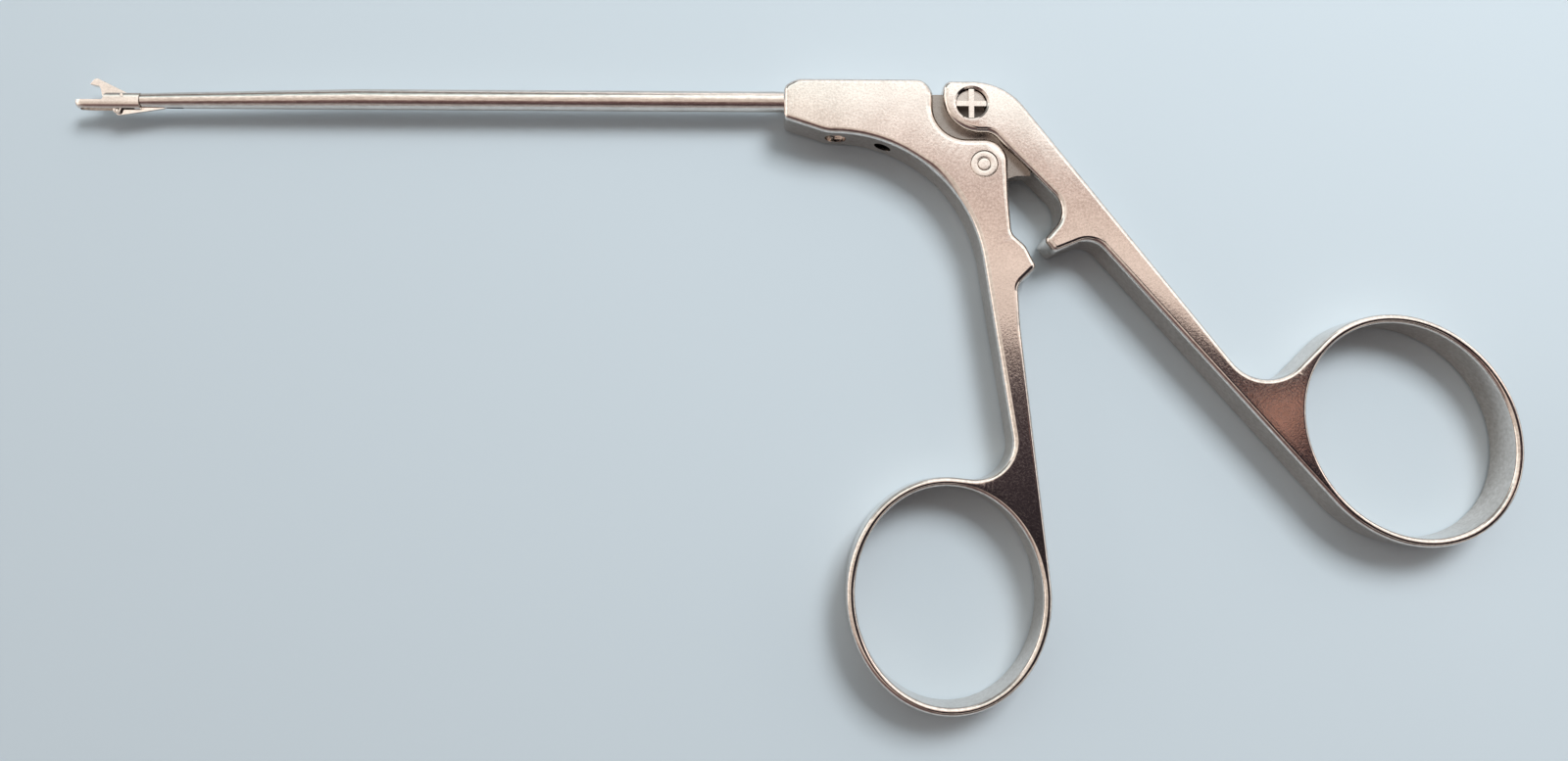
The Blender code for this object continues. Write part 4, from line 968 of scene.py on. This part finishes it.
class PUNCH_OT_trunnion(Operator):
    """Make the swivel with its cross and the plug behind the rod's ball"""

    bl_idname = "punch.trunnion"
    bl_label = "Trunnion"

    def execute(self, context):
        looks = context.scene.punch_handle
        low = TRUNNION_SINK
        high = looks.thickness / MM - low
        middle = looks.thickness / MM / 2
        radius = looks.trunnion_diameter / MM / 2
        pocket = BALL_RADIUS + BALL_CLEARANCE
        cuts = self.quadrants(looks, low, high, radius)
        cuts.append(level_bar(
            "rod_passage", (TRUNNION.x - radius - OVERSHOOT, TRUNNION.y), TRUNNION,
            middle, ROD_REACH, SMALL_SIDES,
        ))
        cuts.append(level_bar(
            "ball_pocket", (TRUNNION.x - BALL_RADIUS - BALL_END_GAP, TRUNNION.y),
            (TRUNNION.x + radius + OVERSHOOT, TRUNNION.y), middle, pocket,
        ))
        piece = shaped(
            "trunnion_steel", plate_mesh("trunnion", circle(TRUNNION, radius), low, high),
            [("DIFFERENCE", cut) for cut in cuts],
        )
        break_edges(piece, TRUNNION_BREAK)
        shelf = (high - UPPER_RECESS / 2) * MM

        # Flats down in the recesses get painted shade: dark in the lower two, milder in the upper
        # two.
        def recess_shade_pick(face):
            if face.normal.z < UPWARD_NORMAL or face.center.z > shelf:
                return 0
            return 1 if face.center.y < TRUNNION.y * MM else 2

        dressed(
            piece, "trunnion", "rod_trunnion", TRUNNION_FINISHES, recess_shade_pick
        )

        plug_radius = pocket - SEAT_GAP
        plug_end = math.sqrt(radius ** 2 - plug_radius ** 2)
        plug = shaped("ball_plug_steel", level_bar(
            "ball_plug", (TRUNNION.x + BALL_RADIUS + SEAT_GAP, TRUNNION.y),
            (TRUNNION.x + plug_end, TRUNNION.y), middle, plug_radius,
        ))
        break_edges(plug, PLUG_BREAK)
        # The plug inside the ball pocket takes the dark tone of painted shade.
        dressed(plug, "trunnion", "ball_plug", ["painted_shade_recess"])
        return {"FINISHED"}

    def quadrants(self, looks, low, high, radius):
        """Cuts between the ribs of the cross, on both ends; the lower two are deeper."""
        rib = looks.cross_width / MM / 2
        cuts = []
        for side_x in (-1, 1):
            for side_y in (-1, 1):
                depth = UPPER_RECESS if side_y > 0 else LOWER_RECESS
                for end, base in (("low", low - OVERSHOOT), ("high", high - depth)):
                    near = TRUNNION + Vector((side_x, side_y)) * rib
                    far = TRUNNION + Vector((side_x, side_y)) * 2 * radius
                    cuts.append(box_mesh(
                        f"quadrant_{end}",
                        (min(near.x, far.x), min(near.y, far.y), base),
                        (max(near.x, far.x), max(near.y, far.y), base + depth + OVERSHOOT),
                    ))
        return cuts


class PUNCH_OT_shaft(Operator):
    """Make the shaft tube and the screw that holds it"""

    bl_idname = "punch.shaft"
    bl_label = "Shaft tube"

    def execute(self, context):
        looks = context.scene.punch_shaft
        middle = context.scene.punch_handle.thickness / MM / 2
        outer = looks.tube_diameter / MM / 2
        tip = looks.tip_diameter / MM / 2
        bore = looks.tube_bore / MM / 2
        taper = (outer - tip) / (TAPER_START - TUBE_FRONT)
        stations = [
            (TUBE_REAR, outer - SHAFT_BREAK, 0.0),
            (TUBE_REAR - SHAFT_BREAK, outer, 0.0),
            (TAPER_START, outer, 0.0),
            (TUBE_FRONT + SHAFT_BREAK, tip + SHAFT_BREAK * taper, -TIP_DROP),
            (TUBE_FRONT, tip - SHAFT_BREAK, -TIP_DROP),
            (TUBE_FRONT, bore, -TIP_DROP),
            (TAPER_START, bore, 0.0),
            (TUBE_REAR, bore, 0.0),
        ]
        data = turned_mesh("shaft_tube", stations, Vector((0.0, middle)), closed=True)
        outlet = box_mesh(
            "blade_outlet",
            (TUBE_FRONT - OVERSHOOT, -TIP_DROP - 2 * tip, middle - BLADE_SLOT_HALF),
            (TUBE_FRONT + BLADE_OUTLET, -TIP_DROP - bore / 2, middle + BLADE_SLOT_HALF),
        )
        piece = shaped("shaft_tube_steel", data, [("DIFFERENCE", outlet)])
        dressed(piece, "frame", "shaft_tube", ["shaft_polish"])

        bottom = HOUSING_BELLY.y + SET_SCREW_INSET
        screw = shaped("set_screw_steel", level_bar(
            "set_screw", (0.0, bottom), (0.0, -outer - SEAT_GAP), middle, SET_SCREW_DIAMETER / 2
        ), [("DIFFERENCE", level_bar(
            "socket", (0.0, bottom - OVERSHOOT), (0.0, bottom + SOCKET_DEPTH), middle,
            SOCKET_RADIUS, SOCKET_SIDES,
        ))])
        break_edges(screw, SHAFT_BREAK)
        dressed(screw, "frame", "shaft_set_screw", ["jaw_polish"])
        return {"FINISHED"}


class PUNCH_OT_rod(Operator):
    """Give the drive rod, its blade, the link pin and the jaw pin their steel"""

    bl_idname = "punch.rod"
    bl_label = "Drive rod"

    def execute(self, context):
        for name, finish in (
            ("drive_rod", "rod_drawn"),
            ("rod_blade", "blade_bright"),
            ("link_pin", "blade_bright"),
            # The jaw pin shares the pivot's lighter tone of painted highlight.
            ("jaw_pin", "pivot_ground_painted_highlight"),
        ):
            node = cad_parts[name]
            for slot in node.material_slots:
                slot.material = finish_named(finish)
        return {"FINISHED"}


class PUNCH_OT_jaws(Operator):
    """Make the basket with its cheeks and the hook that bites into it"""

    bl_idname = "punch.jaws"
    bl_label = "Jaws"

    def execute(self, context):
        looks = context.scene.punch_shaft
        middle = context.scene.punch_handle.thickness / MM / 2
        self.basket(looks, middle)
        self.hook(looks, middle)
        return {"FINISHED"}

    def slot_block(self, name, left, right, half_width, low, high, middle):
        """Upright block with a round left end, that cuts the slot for the hook."""
        corners = [
            (Vector((right, -half_width)), 0.0),
            (Vector((right, half_width)), 0.0),
            (Vector((left, half_width)), half_width),
            (Vector((left, -half_width)), half_width),
        ]
        data = plate_mesh(name, rounded(corners), -high, -low)
        upright = Matrix.Rotation(math.radians(90.0), 4, "X")
        data.transform(Matrix.Translation((0.0, 0.0, middle)) @ upright)
        return data

    def body_mesh(self, half, middle):
        """Turned jaw body, drawn out to a keel below and flattened to a crest above."""
        stations = [(NOSE.x + back, half * share_left, 0.0) for back, share_left in NOSE_ROUNDING]
        stations.append((JAW_FRONT, half, 0.0))
        body = turned_mesh("jaw_body", stations, Vector((0.0, middle)))
        for vertex in body.vertices:
            across = vertex.co.z - middle
            radius = math.hypot(vertex.co.y, across)
            rise = vertex.co.y / radius
            side = across / radius
            reach, bend = (BODY_CREST, CREST_BEND) if rise > 0.0 else (BODY_KEEL, KEEL_BEND)
            tall = math.copysign(abs(rise) ** bend, rise) * radius
            vertex.co.y = BODY_LEVEL + tall * reach / half
            vertex.co.z = middle + math.copysign(abs(side) ** bend, side) * radius
        return body

    def basket(self, looks, middle):
        """Cheeks and basket with the spigot that is welded in the tube."""
        cheek_front = JAW_FRONT - CHEEK_LENGTH
        axis = -TIP_DROP
        top = axis - BASKET_TOP
        bottom = axis - BODY_DEPTH
        crest = axis + CHEEK_HEIGHT
        corners = [
            (Vector((JAW_FRONT, bottom)), 0.0),
            (Vector((JAW_FRONT, crest)), 0.0),
            (Vector((cheek_front, crest)), 0.5),
            (Vector((cheek_front - 0.5, top)), 0.3),
            (Vector((NOSE.x, top)), 0.3),
            (Vector((NOSE.x, bottom)), 0.3),
        ]
        half = looks.jaw_width / MM / 2
        low = axis - 2 * BASKET_DEPTH
        high = axis + 2 * CHEEK_HEIGHT
        slot_half = looks.hook_width / MM / 2 + HOOK_SIDE_GAP
        slot_rear = JAW_FRONT - SLOT_END
        spigot = looks.tube_bore / MM / 2 - SEAT_GAP
        piece = shaped("basket_steel", plate_mesh(
            "basket", rounded(corners), middle - half - BODY_SPARE,
            middle + half + BODY_SPARE,
        ), [
            ("INTERSECT", self.body_mesh(half, middle)),
            ("UNION", level_bar("spigot", (JAW_FRONT - 0.5, axis),
                                (JAW_FRONT + SPIGOT_LENGTH, axis), middle, spigot)),
            ("DIFFERENCE", self.slot_block("jaw_slot", NOSE.x + FRONT_WALL, slot_rear, slot_half,
                                           low, high, middle)),
            ("DIFFERENCE", box_mesh("blade_slot",
                                    (slot_rear - 0.5, low, middle - BLADE_SLOT_HALF),
                                    (JAW_FRONT + 2 * SPIGOT_LENGTH, axis + BLADE_SLOT_TOP,
                                     middle + BLADE_SLOT_HALF))),
            ("DIFFERENCE", upright_bar("pin_hole", JAW_PIN, middle - half - OVERSHOOT,
                                       middle + half + OVERSHOOT, JAW_PIN_RADIUS, SMALL_SIDES)),
        ])
        dressed(piece, "frame", "fixed_jaw", ["jaw_polish"])

    def hook(self, looks, middle):
        """Hook jaw with its two tail lugs around the blade."""
        axis = Vector((JAW_PIN.x, -TIP_DROP))
        tail = -90.0 - JAW_RANGE / 2
        lug = JAW_PIN + at(CRANK_RADIUS, tail)
        lug_corner = LUG_RADIUS * math.sqrt(2)
        corners = [
            (lug + at(lug_corner, tail + 50.0), LUG_RADIUS),
            (JAW_PIN + at(HOOK_BOSS, tail + 75.0), HOOK_BOSS),
            (JAW_PIN + at(1.1 * HOOK_BOSS, 0.0), HOOK_BOSS),
            (JAW_PIN + at(1.25 * HOOK_BOSS, 60.0), HOOK_BOSS),
            (NOSE + Vector((3.55, 4.2)), HOOK_BOSS),  # back of the hook
            (NOSE + Vector((2.48, 2.85)), 0.15),  # its point
            (NOSE + Vector((4.45, 2.45)), 0.8),  # its throat
            (NOSE + Vector((4.95, 0.42)), 0.8),
            (axis + Vector((-1.75, -0.35)), 0.8),
            (lug + at(lug_corner, tail - 50.0), LUG_RADIUS),
        ]
        half = looks.hook_width / MM / 2
        low = middle - half - OVERSHOOT
        high = middle + half + OVERSHOOT
        inner = CRANK_RADIUS * math.cos(math.radians(JAW_RANGE / 2))
        near = JAW_PIN + at(inner - LINK_SLOT_SPARE, tail)
        far = JAW_PIN + at(CRANK_RADIUS + LINK_SLOT_SPARE, tail)
        corner = LINK_SLOT_HALF * math.sqrt(2)
        around = [
            (near + at(corner, tail + 135.0), LINK_SLOT_HALF),
            (near + at(corner, tail - 135.0), LINK_SLOT_HALF),
            (far + at(corner, tail - 45.0), LINK_SLOT_HALF),
            (far + at(corner, tail + 45.0), LINK_SLOT_HALF),
        ]
        fork = box_mesh(
            "fork",
            (JAW_PIN.x - CRANK_RADIUS, JAW_PIN.y - 2 * CRANK_RADIUS, middle - BLADE_SLOT_HALF),
            (JAW_PIN.x + CRANK_RADIUS, JAW_PIN.y - FORK_TOP, middle + BLADE_SLOT_HALF),
        )
        piece = shaped("hook_steel", plate_mesh(
            "hook", rounded(corners), middle - half, middle + half, HOOK_EDGE, steps=3
        ), [
            ("DIFFERENCE", upright_bar("jaw_eye", JAW_PIN, low, high, JAW_EYE_RADIUS, SMALL_SIDES)),
            ("DIFFERENCE", fork),
            ("DIFFERENCE", plate_mesh("link_slot", rounded(around), low, high)),
        ])
        dressed(piece, "jaw", "punch_jaw", ["jaw_polish"])


class PUNCH_OT_stage(Operator):
    """Set the pale floor, the soft light and the camera"""

    bl_idname = "punch.stage"
    bl_label = "Floor, light and camera"

    def execute(self, context):
        looks = context.scene.punch_stage
        self.floor(looks)
        self.lamps(looks)
        self.room(context, looks)
        self.camera(context, looks)
        context.scene.view_settings.view_transform = "Standard"
        return {"FINISHED"}

    def floor(self, looks):
        """Plain matt floor, a hair under the punch."""
        mesh = bmesh.new()
        bmesh.ops.create_grid(mesh, x_segments=1, y_segments=1, size=FLOOR_SIZE)
        data = finished_mesh(mesh, "floor")
        floor = bpy.data.objects.new("floor", data)
        floor.location = (0.0, 0.0, -FLOOR_DROP)
        bpy.context.scene.collection.objects.link(floor)
        finish = bpy.data.materials.new("pale_floor")
        finish.use_nodes = True
        shader = finish.node_tree.nodes["Principled BSDF"]
        shader.inputs["Base Color"].default_value = (*looks.floor_colour, 1.0)
        shader.inputs["Roughness"].default_value = FLOOR_ROUGHNESS
        shader.inputs["Specular IOR Level"].default_value = FLOOR_SHINE
        data.materials.append(finish)

    def lamps(self, looks):
        """Softbox behind the shaft, two side panels, a warm card and a fill for the floor."""
        powers = (looks.softbox_power, looks.side_power, looks.side_power,
                  looks.card_power, looks.fill_power)
        lamps = {}
        for (name, place, aim, size, tint), energy in zip(LAMPS, powers):
            light = bpy.data.lights.new(name, "AREA")
            light.shape = "RECTANGLE"
            light.size, light.size_y = size
            light.energy = energy
            light.color = tint
            lamp = bpy.data.objects.new(name, light)
            lamp.location = place
            facing = Vector(place) - Vector(aim)
            lamp.rotation_euler = facing.to_track_quat("Z", "Y").to_euler()
            bpy.context.scene.collection.objects.link(lamp)
            lamps[name] = lamp
        lamps["softbox"].rotation_euler = (0.0, 0.0, math.radians(SOFTBOX_TURN))
        lamps["fill"].visible_glossy = False

    def room(self, context, looks):
        """Room that the steel mirrors, from dark in front of the punch to light behind it."""
        world = bpy.data.worlds.new("studio_room")
        world.use_nodes = True
        context.scene.world = world
        nodes = world.node_tree.nodes
        links = world.node_tree.links
        nodes.clear()
        direction = nodes.new("ShaderNodeTexCoord").outputs["Generated"]
        parts = nodes.new("ShaderNodeSeparateXYZ")
        links.new(direction, parts.inputs["Vector"])

        depth = spanned(nodes, -1.0, 1.0)
        links.new(self.along(nodes, links, direction, ROOM_DEPTH), depth.inputs["Value"])
        sides = []
        for stops in (ROOM_TONES, LEFT_TONES):
            tones = self.tone_ramp(nodes, stops)
            links.new(depth.outputs["Result"], tones.inputs["Fac"])
            sides.append(tones.outputs["Color"])
        leftward = spanned(nodes, *LEFT_FADE, smooth=True)
        links.new(parts.outputs["X"], leftward.inputs["Value"])
        both = self.mixed(nodes, links, leftward.outputs["Result"], sides[0])
        links.new(sides[1], both.inputs[MIX_OVER])

        low = spanned(nodes, *WALL_FADE, smooth=True)
        links.new(parts.outputs["Z"], low.inputs["Value"])
        walls = self.mixed(nodes, links, low.outputs["Result"], both.outputs[MIX_RESULT])
        walls.blend_type = "LIGHTEN"
        walls.inputs[MIX_OVER].default_value = (*WALL_TONE, 1.0)

        shade = spanned(nodes, *CORNER_CONE, 1.0, CORNER_SHADE, smooth=True)
        links.new(self.along(nodes, links, direction, DARK_CORNER), shade.inputs["Value"])
        shaded = nodes.new("ShaderNodeVectorMath")
        shaded.operation = "SCALE"
        links.new(walls.outputs[MIX_RESULT], shaded.inputs[FIRST_VECTOR])
        links.new(shade.outputs["Result"], shaded.inputs["Scale"])

        path = nodes.new("ShaderNodeLightPath")
        level = spanned(nodes, 0.0, 1.0, looks.room_level, looks.room_level * looks.room_share)
        links.new(path.outputs["Is Diffuse Ray"], level.inputs["Value"])
        room = nodes.new("ShaderNodeBackground")
        links.new(shaded.outputs["Vector"], room.inputs["Color"])
        links.new(level.outputs["Result"], room.inputs["Strength"])
        seen = nodes.new("ShaderNodeBackground")
        seen.inputs["Color"].default_value = SEEN_TONE
        seen.inputs["Strength"].default_value = 1.0
        choice = nodes.new("ShaderNodeMixShader")
        links.new(path.outputs["Is Camera Ray"], choice.inputs["Fac"])
        links.new(room.outputs["Background"], choice.inputs[FIRST_SHADER])
        links.new(seen.outputs["Background"], choice.inputs[SECOND_SHADER])
        out = nodes.new("ShaderNodeOutputWorld")
        links.new(choice.outputs["Shader"], out.inputs["Surface"])

    def along(self, nodes, links, direction, way):
        """How far a direction points the given way."""
        product = nodes.new("ShaderNodeVectorMath")
        product.operation = "DOT_PRODUCT"
        product.inputs[SECOND_VECTOR].default_value = way
        links.new(direction, product.inputs[FIRST_VECTOR])
        return product.outputs["Value"]

    def tone_ramp(self, nodes, stops):
        """Ramp through (how far back, tone) stops."""
        tones = nodes.new("ShaderNodeValToRGB")
        ramp = tones.color_ramp
        for element, (back, tone) in zip(ramp.elements, (stops[0], stops[-1])):
            element.position = (1.0 + back) / 2
            element.color = (*tone, 1.0)
        for back, tone in stops[1:-1]:
            ramp.elements.new((1.0 + back) / 2).color = (*tone, 1.0)
        return tones

    def mixed(self, nodes, links, factor, base):
        """Mix node for colours, over a base by a factor."""
        mix = nodes.new("ShaderNodeMix")
        mix.data_type = "RGBA"
        links.new(factor, mix.inputs[MIX_FACTOR])
        links.new(base, mix.inputs[MIX_BASE])
        return mix

    def camera(self, context, looks):
        """Camera over the punch, at the photo's angle."""
        data = bpy.data.cameras.new("camera")
        data.sensor_width = SENSOR_WIDTH
        data.lens = looks.camera_lens
        data.clip_start = CLIP_START
        data.clip_end = CLIP_END
        camera = bpy.data.objects.new("camera", data)
        tilt = Matrix.Rotation(looks.camera_tilt, 4, "X")
        roll = Matrix.Rotation(looks.camera_roll, 4, "Z")
        camera.matrix_world = Matrix.Translation(looks.camera_place) @ (tilt @ roll)
        context.scene.collection.objects.link(camera)
        context.scene.camera = camera


class PUNCH_PT_panel(Panel):
    """Sizes and finishes of the punch, and a button for each of its pieces"""

    bl_idname = "PUNCH_PT_panel"
    bl_label = "Arthroscopic punch"
    bl_space_type = "VIEW_3D"
    bl_region_type = "UI"
    bl_category = "Punch"

    def draw(self, context):
        for group in (context.scene.punch_handle, context.scene.punch_shaft,
                      context.scene.punch_steel, context.scene.punch_stage):
            box = self.layout.box()
            for name in group.__annotations__:
                box.prop(group, name)
        for operator in OPERATORS:
            self.layout.operator(operator.bl_idname)


OPERATORS = (
    PUNCH_OT_fixed_handle,
    PUNCH_OT_lever,
    PUNCH_OT_pivot,
    PUNCH_OT_trunnion,
    PUNCH_OT_shaft,
    PUNCH_OT_rod,
    PUNCH_OT_jaws,
    PUNCH_OT_stage,
)
CLASSES = (HandleLooks, ShaftLooks, SteelLooks, StageLooks) + OPERATORS + (PUNCH_PT_panel,)


def register():
    """Add the panel, its settings and its operators."""
    for each in CLASSES:
        bpy.utils.register_class(each)
    bpy.types.Scene.punch_handle = PointerProperty(type=HandleLooks)
    bpy.types.Scene.punch_shaft = PointerProperty(type=ShaftLooks)
    bpy.types.Scene.punch_steel = PointerProperty(type=SteelLooks)
    bpy.types.Scene.punch_stage = PointerProperty(type=StageLooks)


def unregister():
    """Take them away again."""
    del bpy.types.Scene.punch_stage
    del bpy.types.Scene.punch_steel
    del bpy.types.Scene.punch_shaft
    del bpy.types.Scene.punch_handle
    for each in reversed(CLASSES):
        bpy.utils.unregister_class(each)


def main():
    """Make every piece and the stage."""
    register()
    bpy.ops.punch.fixed_handle()
    bpy.ops.punch.lever()
    bpy.ops.punch.pivot()
    bpy.ops.punch.trunnion()
    bpy.ops.punch.shaft()
    bpy.ops.punch.rod()
    bpy.ops.punch.jaws()
    bpy.ops.punch.stage()


if __name__ == "__main__":
    main()
